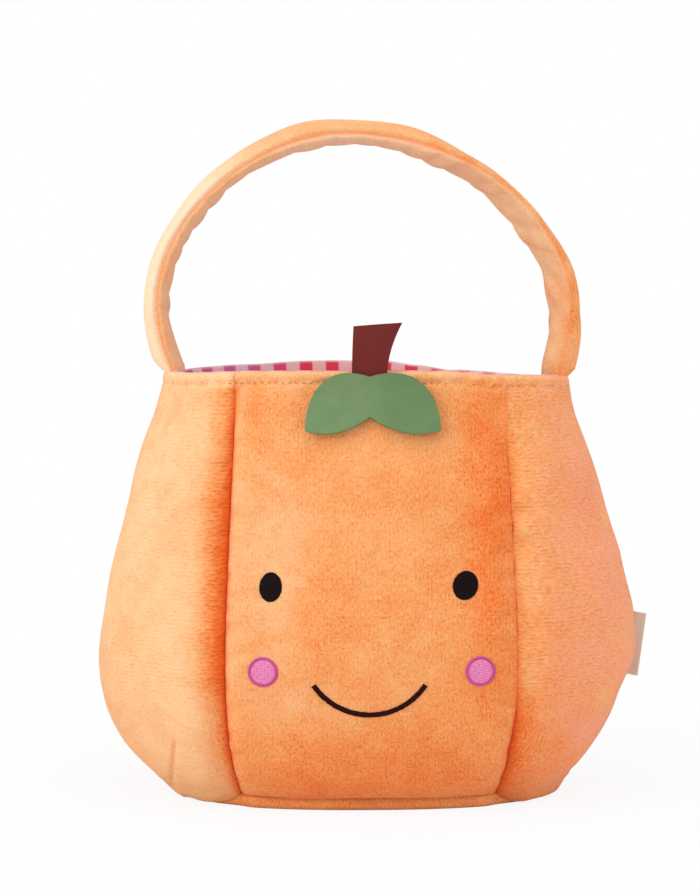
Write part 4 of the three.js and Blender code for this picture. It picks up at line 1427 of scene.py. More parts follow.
@dataclass
class Handle:
    """The padded handle: an outer and an inner strip, sewn along both edges, over padding."""

    shape: BodyShape
    half_width: float = 14 * MM
    taper_run: float = 30 * MM
    cloth: float = 1.8 * MM
    gap: float = 0.3 * MM
    rise: float = 112.4 * MM
    crown: float = -10 * MM
    left_lean: float = 28 * MM
    left_pull: float = 65.7 * MM
    left_crown_pull: float = 42.4 * MM
    right_lean: float = 15.8 * MM
    right_pull: float = 63.7 * MM
    right_crown_pull: float = 53.9 * MM
    root: float = 93.2 * MM
    steps: int = 330
    sides: int = 26
    tuck: float = 10 * MM
    tuck_steps: int = 12
    deepest: float = 1.3 * MM
    left_sink: float = 1.5 * MM
    right_sink: float = 3.5 * MM
    sewn_half: float = 2.1 * MM
    seam_notch: float = 1.3 * MM
    gather: float = 1.7 * MM
    gather_pitch: float = 16 * MM
    line: Array = field(init=False, repr=False)
    run: Array = field(init=False, repr=False)

    def __post_init__(self) -> None:
        """Tabulates the middle line against its own length."""
        rim = self.shape.rim_height
        turns = np.linspace(0.0, 1.0, 801)
        top = rim + self.rise
        left = (
            (-self.root, 0.0, rim + self.gap),
            (-self.root - self.left_lean, 0.0, rim + self.left_pull),
            (self.crown - self.left_crown_pull, 0.0, top),
            (self.crown, 0.0, top),
        )
        right = (
            (self.crown, 0.0, top),
            (self.crown + self.right_crown_pull, 0.0, top),
            (self.root + self.right_lean, 0.0, rim + self.right_pull),
            (self.root, 0.0, rim + self.gap),
        )
        self.line = np.concatenate([bezier(left, turns), bezier(right, turns)[1:]])
        self.run = lengths(self.line)

    @property
    def length(self) -> float:
        """How long the handle is from rim to rim."""
        return float(self.run[-1])

    def middle_line(self) -> tuple[Array, Array]:
        """The line's points at even steps, with the two tucked ends that the rim hides.

        Returns:
            How far along the handle each point is, below 0 and past the length in the tucked ends,
            and the points.
        """
        run = np.linspace(0.0, self.length, self.steps + 1)
        inside = np.stack([np.interp(run, self.run, self.line[:, k]) for k in range(3)], -1)
        tuck = self.tuck * np.linspace(1.0, 0.0, self.tuck_steps + 1)[:-1]
        ends = []
        for root in (inside[0], inside[-1]):
            drop = np.stack([np.full_like(tuck, root[0]), np.zeros_like(tuck), root[2] - tuck], -1)
            ends.append(drop)
        line = np.concatenate([ends[0], inside, ends[1][::-1]])
        return np.concatenate([-tuck, run, self.length + tuck[::-1]]), line

    def strip(self, first: float, depth: float, detail: float) -> tuple[Array, Array]:
        """Points of half of the section, along the handle.

        Args:
            first: The angle at which the half starts: 0 for the outer strip, pi for the inner one.
            depth: How far inside the handle's surface the points lie.
            detail: 1 for the surface with its puckers, and 0 without.

        Returns:
            The points, and their places on the flat cloth.
        """
        run, middle = self.middle_line()
        along = np.gradient(middle, axis=0)
        along /= np.linalg.norm(along, axis=1)[:, None]
        outward = np.stack([-along[:, 2], np.zeros(len(run)), along[:, 0]], -1)
        turn = first + math.pi * np.linspace(0.0, 1.0, self.sides + 1)
        run_grid, turn_grid = np.meshgrid(run, turn, indexing="ij")
        from_root = np.minimum(run_grid, self.length - run_grid)
        settled = 0.3 + 0.7 * smooth(from_root, 0.0, self.taper_run)
        leg = run_grid / self.length
        pinch = smooth(-from_root, 5 * MM, self.tuck)
        swell = eased(leg, HANDLE_INNER_SWELL if first else HANDLE_OUTER_SWELL)
        sunk = np.where(leg < 0.5, self.left_sink, self.right_sink)
        squeeze = smooth(-from_root - sunk, 0.0, 4 * MM)
        if not first:
            squeeze = smooth(-from_root - sunk, np.where(leg < 0.5, -10 * MM, -4 * MM), 5 * MM)
        half = (eased(leg, HANDLE_HALF_THICKNESS) + swell) * (1.0 - squeeze) + self.sewn_half * squeeze
        edge = np.minimum(np.abs(turn_grid - first), np.abs(first + math.pi - turn_grid))
        notch = self.seam_notch * bell(edge, 0.22) * settled * (1.0 - 0.6 * smooth(leg, 0.6, 0.75))
        bulge = self.puckers(first, run_grid, turn_grid) * detail
        bulge = np.where(bulge < 0.0, self.deepest * np.tanh(bulge / self.deepest), bulge)
        across = (self.half_width - depth - notch) * np.cos(turn_grid)
        shaped = np.sign(np.sin(turn_grid)) * np.abs(np.sin(turn_grid)) ** 0.85
        out = (half - depth) * shaped + bulge * np.sign(np.sin(turn_grid + 1e-9)) * settled
        out = out + eased(leg, HANDLE_SHIFT) * (1.0 - pinch)
        twist = self.twist(leg)
        turned_across = across * np.cos(twist) - out * np.sin(twist)
        turned_out = across * np.sin(twist) + out * np.cos(twist)
        points = middle[:, None] + outward[:, None] * turned_out[..., None]
        points[..., 1] += turned_across
        girth = (turn_grid - first - QUARTER) * (self.half_width + 6 * MM) / 2
        return points, np.stack([run_grid, girth], -1)

    def twist(self, leg: Array) -> Array:
        """How far the section is turned about the handle's line, which the right leg is a little."""
        return math.radians(-17.0) * smooth(leg, 0.5, 0.74) * (1.0 - smooth(leg, 0.86, 1.0))

    def puckers(self, first: float, run: Array, turn: Array) -> Array:
        """The bulges of a strip: gathered inside the bend, and only uneven outside it."""
        crown = np.abs(np.sin(turn))
        leg = run / self.length
        across = self.half_width * np.cos(turn)
        uneven = 0.4 * MM * Ripple(61, 26 * MM, across=1.6).at(run, across)
        crumple = 0.7 * MM * Ripple(62, 16 * MM).at(run + 0.8 * across, across) * smooth(leg, 0.55, 0.7)
        if first == 0.0:
            return (uneven + 0.22 * crumple) * crown
        gathers = Scallops(63, self.length, self.gather_pitch, spread=0.6).at(run + 0.35 * across)
        return (self.gather * (gathers - 0.75) + 0.6 * uneven + 0.5 * crumple) * crown**0.6

    def build(self, plush: Material, wadding: Material) -> None:
        """Makes the two strips and the padding, which bend above the rim."""
        for name, first, node, nap in (
            ("handle_outer_cloth", 0.0, "handle_outer_strip", HANDLE_OUTER_PAINTED_LIGHT),
            ("handle_inner_cloth", math.pi, "handle_inner_strip", HANDLE_INNER_PAINTED_LIGHT),
        ):
            front, cloth = self.strip(first, 0.0, 1.0)
            back, _ = self.strip(first, self.cloth, 0.6)
            edge = np.abs(np.sin(np.linspace(0.0, math.pi, self.sides + 1)))[None, :]
            leg = cloth[..., 0] / self.length
            # painted shade: deep along the strips' seams
            seam = 0.6 * bell(edge, 0.14) * (1.0 - 0.4 * smooth(leg, 0.6, 0.75))
            across = self.half_width * np.cos(first + math.pi * np.linspace(0.0, 1.0, self.sides + 1))
            mottle = Ripple(64, 20 * MM).at(cloth[..., 0] + 0.6 * across, np.broadcast_to(across, leg.shape))
            # the painted light from the tables above, with a random mottle on the right leg
            tone = eased(leg, nap) + 0.07 * mottle * smooth(leg, 0.5, 0.7)
            # painted sheen: the shaded inner strip is painted pinkish and paler
            rose = (0.55 if first else 0.0) * (1.0 - 0.6 * smooth(leg, 0.6, 0.8))
            if first:
                # painted shade: the inner strip is painted deeper near its seams, most on the left leg, with
                # less painted sheen there
                band = (1.0 - smooth(edge, 0.42, 0.78)) * (1.0 - 0.7 * smooth(leg, 0.3, 0.5))
                tone = tone - 0.34 * band
                rose = rose * (1.0 - 0.6 * band)
            marks = {"nap": tone, "seam": seam, "rows": np.full(leg.shape, 0.4), "rose": rose}
            surface = Surface.closed_sheet(front, back, cloth, marks)
            piece = surface.to_object(name, plush)
            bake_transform(piece)
            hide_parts(node)
            width = float(surface.area() / 2 / self.length)
            LOG.info("%s is cut %.3f by %.3f m", name, width, self.length)
        upper, cloth = self.strip(0.0, self.cloth + self.gap, 0.0)
        lower, _ = self.strip(math.pi, self.cloth + self.gap, 0.0)
        rings = np.concatenate([upper[:, :-1], lower[:, :-1]], axis=1)
        wrapped = np.concatenate([cloth[:, :-1], cloth[:, :-1] + [0.0, 0.03]], axis=1)
        core = Surface.ring_loft(rings[::2], wrapped[::2]).to_object("handle_core", wadding)
        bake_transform(core)
        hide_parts("handle_padding")


@dataclass
class HandleTabs:
    """The two ends of the handle, sewn flat between the plush and the lining."""

    shape: BodyShape
    half_width: float = 13.9 * MM
    length: float = 21.5 * MM
    outer: float = 5.56 * MM
    inner: float = 5.76 * MM

    def build(self, material: Material) -> None:
        """Makes both tabs."""
        rim = self.shape.rim_height
        for name, side, node in (
            ("left_tab_cloth", -1, "handle_tab_left"),
            ("right_tab_cloth", 1, "handle_tab_right"),
        ):
            across = np.linspace(-1.0, 1.0, 15) * self.half_width / self.shape.rim_half_depth
            span, rise = np.meshgrid(across, np.linspace(rim - self.length, rim - 1.0 * MM, 12))
            angle = side * QUARTER + span
            outer = self.shape.wall(angle, rise, -self.outer)
            inner = self.shape.wall(angle, rise, -self.inner)
            cloth = np.stack([span * self.shape.rim_half_depth, rise], -1)
            marks = {"nap": np.zeros(rise.shape), "seam": np.zeros(rise.shape)}
            piece = Surface.closed_sheet(outer, inner, cloth, marks).to_object(name, material)
            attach(piece, "basket")
            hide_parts(node)


@dataclass
class FaceLayer:
    """Finds places on the face panel and lays things on it."""

    shape: BodyShape
    body: PlushBody

    def plain(self, x: Array, z: Array, lift: Array | float) -> Array:
        """Points on the even face panel, without its unevenness.

        Args:
            x: Places to the right of the middle.
            z: Heights above the floor.
            lift: Distances off the plush.

        Returns:
            One point for each place; above the rim they stand straight up.
        """
        soft = 2.5 * MM
        over = (z - self.shape.rim_height + 4.5 * MM) / soft
        height = z - soft * np.logaddexp(0.0, over)
        points = self.skin(x, height)
        step = 0.5 * MM
        along_x = self.skin(x + step, height) - self.skin(x - step, height)
        along_z = self.skin(x, height) - self.skin(x, height - 2 * step)
        normal = np.cross(along_x, along_z)
        normal /= np.linalg.norm(normal, axis=-1, keepdims=True)
        moved = points + normal * np.broadcast_to(lift, x.shape)[..., None]
        moved[..., 2] += z - height
        return moved

    def skin(self, x: Array, height: Array) -> Array:
        """Points on the even face panel at sideways places and heights."""
        angle = np.arcsin(np.clip(x / self.shape.girth(height)[0], -0.95, 0.95))
        for _ in range(7):
            miss = x - self.at_angle(angle, height)[..., 0]
            after, before = (self.at_angle(angle + nudge, height)[..., 0] for nudge in (1e-4, -1e-4))
            angle = angle + miss / ((after - before) / 2e-4)
        return self.at_angle(angle, height)

    def at_angle(self, angle: Array, height: Array) -> Array:
        """Points on the even face panel at angles from the front."""
        edge = self.shape.seam_angle(height)
        across = np.clip((angle + edge) / (2.0 * edge), 0.0, 1.0)
        top = smooth(self.shape.rim_height - height, 0.0, self.shape.puff_top_run)
        return self.shape.wall(angle, height, PANEL_PUFF * pillow(across) * top)

    def cast(self, x: Array, z: Array) -> tuple[Array, Array]:
        """Places on the real plush of the face panel.

        Args:
            x: Places to the right of the middle.
            z: Heights above the floor.

        Returns:
            The points, and the outward direction over the whole patch.
        """
        tree = self.body.trees["front"]
        points = np.zeros(x.shape + (3,))
        normals = np.zeros(x.shape + (3,))
        ahead = Vector((0.0, 1.0, 0.0))
        for index in np.ndindex(x.shape):
            place, normal, _, _ = tree.ray_cast(Vector((x[index], -1.0, z[index])), ahead)
            points[index] = place
            normals[index] = normal
        outward = normals.reshape(-1, 3).mean(0)
        return points, outward / np.linalg.norm(outward)


@dataclass
class Embroidery:
    """The stitched face: two eyes, two cheeks with satin borders, and a mouth."""

    face: FaceLayer
    mouth_shift: float = -0.6 * MM
    thread: float = 0.36 * MM
    eye_spread: float = 44.8 * MM
    eye_shift: float = -1.1 * MM
    eye_heights: Pair = (107.8 * MM, 108.3 * MM)
    eye_halves: tuple[Pair, Pair] = ((5.2 * MM, 6.7 * MM), (5.9 * MM, 6.5 * MM))
    cheek_shift: float = 0.5 * MM
    cheek_spread: float = 50 * MM
    cheek_height: float = 69.1 * MM
    cheek_radius: float = 5.8 * MM
    border: float = 1.05 * MM
    mouth_radius: float = 31 * MM
    mouth_half_width: float = 25.7 * MM
    mouth_low: float = 49.5 * MM
    mouth_half_stroke: float = 1.22 * MM
    stand: float = 0.05 * MM
    loft: float = 0.62 * MM
    brick_rise: float = 1.9 * MM
    brick_side: float = 3.4 * MM

    def laid(self, x: Array, z: Array, lift: Array, cloth: Array, dent: Array) -> Surface:
        """A closed patch of stitching over a grid of places.

        Args:
            x: Places to the right of the middle.
            z: Heights above the floor.
            lift: How far the threads stand off the plush.
            cloth: The grid's places on the flat stitching.
            dent: 1 where the needle went in, and 0 on the threads.

        Returns:
            The surface, with its back sunk in the plush.
        """
        points, outward = self.face.cast(x, z)
        front = points + outward * lift[..., None]
        back = points - outward * (0.5 * MM)
        return Surface.closed_sheet(front, back, cloth, {"dent": dent})

    def filled(self, centre: Pair, half: Pair, seed: int, slant: float) -> Surface:
        """An oval filled with threads side by side.

        Args:
            centre: Its place to the right of the middle, and its height.
            half: Half its width and half its height.
            seed: Chooses how the thread ends vary.
            slant: The angle in degrees by which the threads lean.

        Returns:
            The stitched surface.
        """
        threads = int(2 * half[1] / self.thread)
        draw = np.random.default_rng(seed)
        row = np.arange(threads * 3 + 1)
        level = (row / (threads * 3)) * 2.0 - 1.0
        which = np.minimum(row // 3, threads - 1)
        reach = np.sqrt(np.maximum(1.0 - level**2, 0.0))
        reach = np.maximum(reach, 0.2) * (1.0 + draw.uniform(-0.035, 0.035, threads)[which])
        share = np.sin(np.linspace(-QUARTER, QUARTER, 23))
        side = reach[:, None] * share[None, :] * half[0]
        rise = np.repeat(level[:, None], 23, 1) * half[1]
        lean = side * math.tan(math.radians(slant)) * 0.5
        ridge = np.abs(np.sin(math.pi * row / 3))[:, None]
        inside = np.clip(1.0 - (side / (half[0] * 1.02)) ** 2 - (rise / (half[1] * 1.02)) ** 2, 0.0, 1.0)
        dome = inside**0.4
        sway = 0.35 * MM * np.sin(side / (1.3 * MM))
        brick = np.cos(TURN * (rise + sway) / self.brick_rise)
        stagger = np.sign(np.sin(math.pi * (rise + sway) / self.brick_rise))
        dent = smooth(brick * np.cos(TURN * (side / self.brick_side + 0.25 * stagger)), 0.1, 0.9)
        lift = self.stand + self.loft * dome + 0.1 * MM * ridge - 0.14 * MM * dent * dome
        x, z = centre[0] + side, centre[1] + rise + lean
        return self.laid(x, z, lift, np.stack([side, rise], -1), 0.8 * dent)

    def band(self, run: Array, line: Line, half: float, seed: int) -> Surface:
        """A satin band, with its threads across it.

        Args:
            run: Distances along the band, three for each thread.
            line: Gives places from distances along and across.
            half: Half the band's width.
            seed: Chooses how the thread ends vary.

        Returns:
            The stitched surface.
        """
        row = np.arange(len(run))
        ends = 1.0 + np.random.default_rng(seed).uniform(-0.12, 0.12, (len(run) // 3 + 1, 2))[row // 3]
        share = np.sin(np.linspace(-QUARTER, QUARTER, 11))[None, :]
        across = share * (np.where(share < 0, ends[:, :1], ends[:, 1:]) * half)
        along = np.repeat(run[:, None], 11, 1)
        ridge = np.abs(np.sin(math.pi * row / 3))[:, None]
        lift = self.stand + self.loft * np.sqrt(1.0 - share**2 + 1e-6) + 0.12 * MM * ridge
        x, z = line(along, across)
        spoke = np.cos(TURN * along / (1.25 * MM))
        dent = 0.6 * smooth(spoke + 0.3 * np.abs(share), 0.3, 1.2)
        return self.laid(x, z, np.broadcast_to(lift, x.shape), np.stack([across, along], -1), dent)

    def ring_line(self, centre: Pair, radius: float) -> Line:
        """Places on a ring round a centre, by distance along it and outwards."""
        return lambda along, across: (
            centre[0] + (radius + across) * np.cos(along / radius),
            centre[1] + (radius + across) * np.sin(along / radius),
        )

    def mouth_line(self, along: Array, across: Array) -> tuple[Array, Array]:
        """Places on the mouth's arc, by distance along it from the middle, and outwards."""
        turn = along / self.mouth_radius
        reach = self.mouth_radius - across
        middle = self.mouth_low + self.mouth_radius
        return self.mouth_shift + reach * np.sin(turn), middle - reach * np.cos(turn)

    def build(self, dark: Material, smile_thread: Material, pink: Material, border: Material) -> None:
        """Makes all the stitched pieces."""
        made: list[tuple[str, Surface, Material, str, Slot]] = []
        for side, name in ((-1, "left"), (1, "right")):
            eye = (self.eye_shift + side * self.eye_spread, self.eye_heights[side > 0])
            cheek = (self.cheek_shift + side * self.cheek_spread, self.cheek_height)
            inner = self.cheek_radius - 0.2 * MM
            ring = self.cheek_radius + self.border / 2
            steps = int(TURN * ring / self.thread) * 3
            run = np.linspace(0.0, TURN * ring, steps + 1)[::-1]
            satin = self.band(run, self.ring_line(cheek, ring), self.border / 2 + 0.15 * MM, 94 + side)
            pupil = self.filled(eye, self.eye_halves[side > 0], 90 + side, 8.0)
            round_fill = self.filled(cheek, (inner, inner), 92 + side, 0.0)
            made += [
                (name + "_eye_satin", pupil, dark, name + "_eye", Slot.DARK_THREAD),
                (name + "_cheek_fill", round_fill, pink, name + "_cheek", Slot.PINK_THREAD),
                (name + "_cheek_satin", satin, border, name + "_cheek_border", Slot.PINK_BORDER),
            ]
        reach = self.mouth_radius * math.asin(self.mouth_half_width / self.mouth_radius)
        steps = int(2 * reach / self.thread) * 3
        smile = self.band(np.linspace(-reach, reach, steps + 1), self.mouth_line, self.mouth_half_stroke, 97)
        made.append(("mouth_satin", smile, smile_thread, "mouth", Slot.DARK_THREAD))
        for name, surface, material, node, slot in made:
            piece = surface.to_object(name, material)
            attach(piece, "basket")
            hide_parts(node)


@dataclass
class StemAndLeaf:
    """The flat stem that stands up from the rim, and the two-lobed leaf over its foot."""

    face: FaceLayer
    stem_thickness: float = 1.6 * MM
    stem_foot_half: float = 8.1 * MM
    stem_top_left: float = -7.4 * MM
    stem_top_right: float = 15.2 * MM
    stem_rise: float = 23.7 * MM
    stem_slant: float = 1.6 * MM
    stem_tuck: float = 16 * MM
    leaf_thickness: float = 1.3 * MM
    left_reach: float = 29.5 * MM
    right_reach: float = 32.2 * MM
    lobe_rise: float = 3.7 * MM
    tip_drop: float = 25.4 * MM
    middle_drop: float = 18.7 * MM
    belly_drop: float = 3.7 * MM
    tip_lift: float = 1.8 * MM
    stem_bow: float = 0.9 * MM
    stem_curl: float = 1.6 * MM
    leaf_curl: float = 1.1 * MM
    leaf_dome: float = 0.8 * MM
    leaf_fold: float = 0.25 * MM
    gap: float = 0.3 * MM

    def edge_mark(self, columns: int, rows: int) -> Array:
        """1 on the grid's border, and 0 inside it."""
        mark = np.zeros((rows + 1, columns + 1))
        mark[[0, -1], :] = 1.0
        mark[:, [0, -1]] = 1.0
        return mark

    def stem(self) -> Surface:
        """The stem as a thin closed sheet with a concave right edge and a slanted top."""
        columns, rows = 24, 56
        rim = self.face.shape.rim_height
        rise = np.linspace(-self.stem_tuck, self.stem_rise, rows + 1)[:, None]
        share = np.linspace(0.0, 1.0, columns + 1)[None, :]
        up = np.clip(rise / self.stem_rise, 0.0, 1.0)
        lean = up**2
        left = -self.stem_foot_half + (self.stem_top_left + self.stem_foot_half) * lean
        right = self.stem_foot_half + (self.stem_top_right - self.stem_foot_half) * lean
        x = left + (right - left) * share
        z = rim + rise + self.stem_slant * lean * share
        lift = self.gap - self.stem_curl * lean + self.stem_bow * np.sin(math.pi * share) * up
        front = self.face.plain(x, z, lift + self.stem_thickness)
        back = self.face.plain(x, z, lift)
        cloth = np.stack(np.broadcast_arrays(x, z), -1)
        return Surface.closed_sheet(front, back, cloth, {"edge": self.edge_mark(columns, rows)})

    def leaf(self) -> Surface:
        """The leaf, whose lobes spring off the plush towards their tips and lower edges."""
        columns, rows = 132, 30
        rim = self.face.shape.rim_height
        side = np.linspace(-1.0, 1.0, columns + 1)
        share = np.sin(np.abs(side) * QUARTER)
        tip = (1, -self.tip_drop)
        belly = (0.62, -self.tip_drop - self.belly_drop)
        upper = bezier([(0, 0), (0.34, self.lobe_rise), (0.94, self.lobe_rise), tip], share)
        lower = bezier([(0, -self.middle_drop), (0.3, -self.tip_drop), belly, tip], share)
        level = np.linspace(0.0, 1.0, rows + 1)[:, None]
        out = lower[None, :, 0] + (upper[None, :, 0] - lower[None, :, 0]) * level
        x = out * np.where(side < 0, -self.left_reach, self.right_reach)[None, :]
        z = rim + lower[None, :, 1] + (upper[None, :, 1] - lower[None, :, 1]) * level
        under = self.stem_thickness + 2 * self.gap
        bulge = np.sin(math.pi * np.clip(out, 0.0, 1.0))
        spring = self.tip_lift * out**2 + self.leaf_curl * (1.0 - level) ** 2 * bulge**0.8
        dome = self.leaf_dome * bulge * level
        fold = -self.leaf_fold * bell(x, 7 * MM)
        lift = under + spring + dome + fold
        front = self.face.plain(x, z, lift + self.leaf_thickness)
        back = self.face.plain(x, z, lift)
        cloth = np.stack([x, z], -1)
        # the border is the darker cut edge; the right lobe is also painted darker, as shade
        edge = np.maximum(self.edge_mark(columns, rows), 0.9 * smooth(x, -4 * MM, 10 * MM))
        return Surface.closed_sheet(front, back, cloth, {"edge": edge})

    def build(self, brown: Material, green: Material) -> None:
        """Makes both pieces."""
        height = self.stem_tuck + self.stem_rise + self.stem_slant
        width = self.stem_top_right - self.stem_top_left
        leaf_width = self.left_reach + self.right_reach
        leaf_height = self.tip_drop + self.belly_drop + self.lobe_rise
        for name, surface, material, node, slot, flat in (
            ("stem_sheet", self.stem(), brown, "stem", Slot.STEM, (width, height)),
            ("leaf_sheet", self.leaf(), green, "leaf", Slot.LEAF, (leaf_width, leaf_height)),
        ):
            piece = surface.to_object(name, material, sharp=40.0)
            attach(piece, "basket")
            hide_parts(node)
            area = min(surface.area() / 2, flat[0] * flat[1])
            LOG.info("%s is cut %.3f by %.3f m", name, flat[0], flat[1])


@dataclass
class SideLabel:
    """The bare folded label in the right side seam."""

    shape: BodyShape
    height: float = 30 * MM
    centre: float = 71.4 * MM
    reach: float = 11.3 * MM
    fold_line: float = 133.5 * MM
    fold_lean: float = 0.14
    tail: float = 1.8 * MM
    sheet: float = 0.45 * MM
    fold_gap: float = 0.4 * MM
    tilt: float = math.radians(12.0)
    flap: float = 0.7 * MM

    def outline(self, half: float) -> tuple[Array, Array]:
        """The folded section at a distance from its middle plane, from one cut end round to the other."""
        straight = np.linspace(-self.tail, self.reach - self.sheet - self.fold_gap / 2, 19)
        turn = np.linspace(-QUARTER, QUARTER, 13)[1:-1]
        x = np.concatenate([straight, straight[-1] + half * np.cos(turn), straight[::-1]])
        y = np.concatenate([np.full(19, -half), half * np.sin(turn), np.full(19, half)])
        return x, y

    def build(self, material: Material) -> None:
        """Makes the label."""
        outer_x, outer_y = self.outline(self.sheet + self.fold_gap / 2)
        inner_x, inner_y = self.outline(self.fold_gap / 2)
        rows = np.linspace(self.centre - self.height / 2, self.centre + self.height / 2, 40)
        half_width, _, _ = self.shape.girth(rows)
        grids = []
        for x, y in ((outer_x, outer_y), (inner_x, inner_y)):
            side, rise = np.meshgrid(x, rows)
            seam = np.repeat((half_width + eased(rows, RIGHT_FLANK))[:, None], len(x), 1)
            outward = np.clip(side / self.reach, 0, 1) ** 2
            flap = self.flap * np.sin((rise - self.centre) / self.height * 3.0) * outward
            tilted = rise - math.tan(self.tilt) * np.maximum(side, 0.0)
            fold_at = self.fold_line + self.fold_lean * (rise - self.centre)
            stretch = np.where(side > 0.0, (fold_at - seam) / self.reach, 1.0)
            depth = np.repeat(y[None, :], len(rows), 0) + flap
            grids.append(np.stack([side * stretch + seam, depth, tilted], -1))
        run = np.concatenate([[0.0], np.cumsum(np.hypot(np.diff(outer_x), np.diff(outer_y)))])
        cloth = np.stack(np.meshgrid(run, rows), -1)
        fold = np.repeat(np.clip(outer_x / self.reach, 0.0, 1.0)[None, :], len(rows), 0)
        surface = Surface.closed_sheet(grids[0], grids[1], cloth, {"fold": fold})
        piece = surface.to_object("folded_label", material)
        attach(piece, "basket")
        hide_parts("side_label")
        LOG.info("%s is cut %.4f by %.3f m", piece.name, run[-1], self.height)


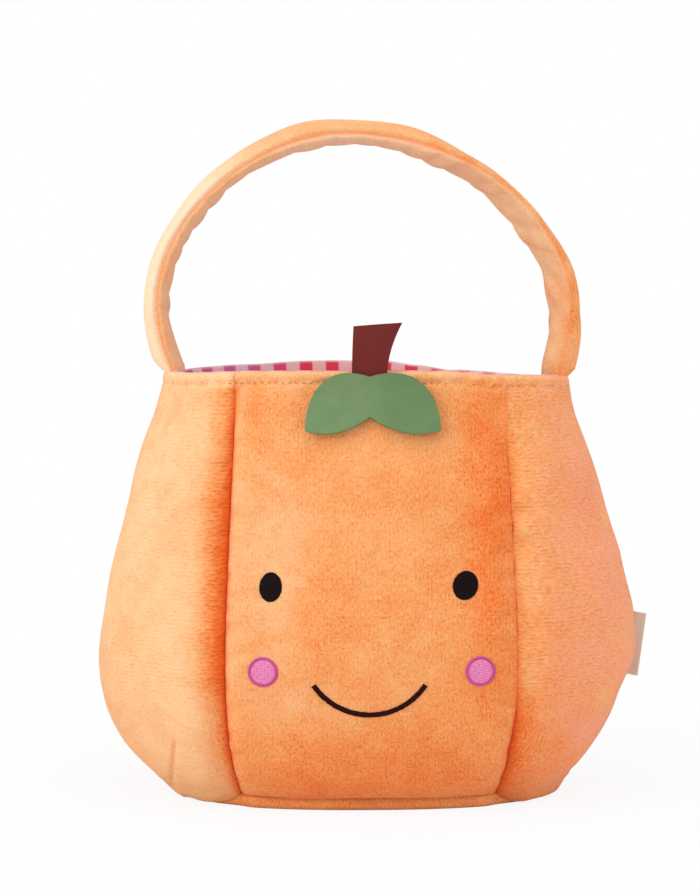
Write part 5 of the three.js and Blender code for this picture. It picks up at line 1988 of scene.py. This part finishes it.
@dataclass(frozen=True)
class Studio:
    """A pale floor, soft lamps and the camera."""

    azimuth: float = -1.5
    elevation: float = 5.2
    distance: float = 1.7
    target: Place = (0.0, 0.0, 0.165)
    lens: float = 182.1
    shift: float = -0.0229
    ambient: float = 0.702

    def lamp(self, name: str, place: Place, size: float, watts: float, colour: Colour) -> None:
        """Adds a square soft lamp that looks at the basket."""
        light = bpy.data.lights.new(name, "AREA")
        light.shape = "SQUARE"
        light.size = size
        light.energy = watts
        light.color = colour[:3]
        lamp = bpy.data.objects.new(name, light)
        lamp.location = place
        aim = Vector((0.0, 0.0, 0.13)) - Vector(place)
        lamp.rotation_euler = aim.to_track_quat("-Z", "Y").to_euler()
        bpy.context.scene.collection.objects.link(lamp)

    def floor(self) -> None:
        """Adds the pale floor, which keeps a faint shadow."""
        mesh = bpy.data.meshes.new("floor")
        reach = 12.0
        corners = [(-reach, -reach, 0), (reach, -reach, 0), (reach, reach, 0), (-reach, reach, 0)]
        mesh.from_pydata(corners, [], [(0, 1, 2, 3)])
        piece = bpy.data.objects.new("floor", mesh)
        bpy.context.scene.collection.objects.link(piece)
        material = bpy.data.materials.new("pale_floor")
        material.use_nodes = True
        material.node_tree.nodes.clear()
        graph = Graph(material.node_tree)
        paper = graph.node("BsdfDiffuse", {"Color": rgb(242, 240, 238)}).outputs[0]
        white = graph.node("Emission", {"Color": WHITE, "Strength": 1.0}).outputs[0]
        place = graph.node("NewGeometry").outputs["Position"]
        away = graph.node("VectorMath", {0: place}, operation="LENGTH").outputs["Value"]
        shown = graph.node("MixShader", {0: graph.step(away, 0.1, 0.42, 0.9, 1.0), 1: paper, 2: white})
        sight = graph.node("LightPath").outputs["Is Camera Ray"]
        seen = graph.node("MixShader", {0: sight, 1: paper, 2: shown.outputs[0]})
        graph.node("OutputMaterial", {"Surface": seen.outputs[0]})
        mesh.materials.append(material)

    def world(self) -> None:
        """Sets even light from all round, seen as white."""
        world = bpy.data.worlds.new("studio")
        world.use_nodes = True
        bpy.context.scene.world = world
        world.node_tree.nodes.clear()
        graph = Graph(world.node_tree)
        path = graph.node("LightPath").outputs
        mirrored = graph.maths("MAXIMUM", path["Is Glossy Ray"], path["Is Transmission Ray"])
        seen = graph.maths("MAXIMUM", path["Is Camera Ray"], mirrored)
        soft = graph.node("Background", {"Color": (1.0, 0.99, 0.975, 1.0), "Strength": self.ambient})
        white = graph.node("Background", {"Color": WHITE, "Strength": 1.0})
        both = graph.node("MixShader", {0: seen, 1: soft.outputs[0], 2: white.outputs[0]})
        graph.node("OutputWorld", {"Surface": both.outputs[0]})

    def camera(self) -> None:
        """Places the camera at the photograph's angle."""
        data = bpy.data.cameras.new("camera")
        data.sensor_fit = "HORIZONTAL"
        data.sensor_width = 36.0
        data.lens = self.lens
        data.shift_x = self.shift
        data.clip_end = 60.0
        camera = bpy.data.objects.new("camera", data)
        around, up = math.radians(self.azimuth), math.radians(self.elevation)
        away = Vector((math.sin(around) * math.cos(up), -math.cos(around) * math.cos(up), math.sin(up)))
        camera.location = Vector(self.target) + away * self.distance
        camera.rotation_euler = (-away).to_track_quat("-Z", "Y").to_euler()
        bpy.context.scene.collection.objects.link(camera)
        bpy.context.scene.camera = camera

    def build(self) -> None:
        """Sets up everything that isn't the basket."""
        bpy.context.scene.view_settings.view_transform = "Standard"
        self.world()
        self.floor()
        self.lamp("key_lamp", (-1.55, -1.15, 1.15), 1.2, 17.0, (1.0, 0.985, 0.96, 1.0))
        self.lamp("fill_lamp", (1.8, -0.5, 0.6), 1.5, 8.0, (1.0, 0.985, 0.99, 1.0))
        self.lamp("top_lamp", (-0.1, -0.45, 1.7), 0.7, 4.3, WHITE)
        self.camera()


def main() -> None:
    """Builds the basket, piece by piece, and its studio."""
    logging.basicConfig(level=logging.INFO, format="%(name)s: %(message)s")
    plush = PlushFinish("orange_plush").dress()
    wadding = WaddingFinish("white_wadding").dress()
    check = CheckFinish("check_lining").dress()
    card = SheetFinish("grey_board", rgb(186, 172, 146), rgb(160, 146, 122), rough=0.8, size=1.2 * MM)
    board = card.dress()
    brown = SheetFinish("brown_sheet", rgb(110, 38, 34), rgb(102, 33, 30)).dress()
    green = SheetFinish("green_sheet", rgb(117, 144, 101), rgb(92, 121, 79)).dress()
    dark = ThreadFinish("dark_thread", rgb(26, 10, 12), rgb(8, 2, 3), rough=0.6, shine=0.12).dress()
    smile_thread = ThreadFinish("mouth_thread", rgb(58, 10, 4), rgb(26, 3, 2), rough=0.6, shine=0.12).dress()
    pink = ThreadFinish("pink_thread", rgb(253, 172, 216), rgb(216, 84, 162)).dress()
    border = ThreadFinish("pink_border_thread", rgb(220, 92, 164), rgb(188, 60, 136)).dress()
    seam_thread = ThreadFinish("orange_thread", rgb(222, 112, 52), rgb(196, 84, 34)).dress()
    tape = TapeFinish("label_tape").dress()

    shape = BodyShape()
    body = PlushBody(shape)
    body.build(plush)
    Topstitch(body).build(seam_thread)
    Base(shape).build(plush, wadding)
    Lining(shape).build(check)
    Handle(shape).build(plush, wadding)
    HandleTabs(shape).build(plush)
    face = FaceLayer(shape, body)
    Embroidery(face).build(dark, smile_thread, pink, border)
    StemAndLeaf(face).build(brown, green)
    SideLabel(shape).build(tape)
    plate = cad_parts["base_board"]
    plate.data.materials.clear()
    plate.data.materials.append(board)
    Studio().build()


if __name__ == "__main__":
    main()
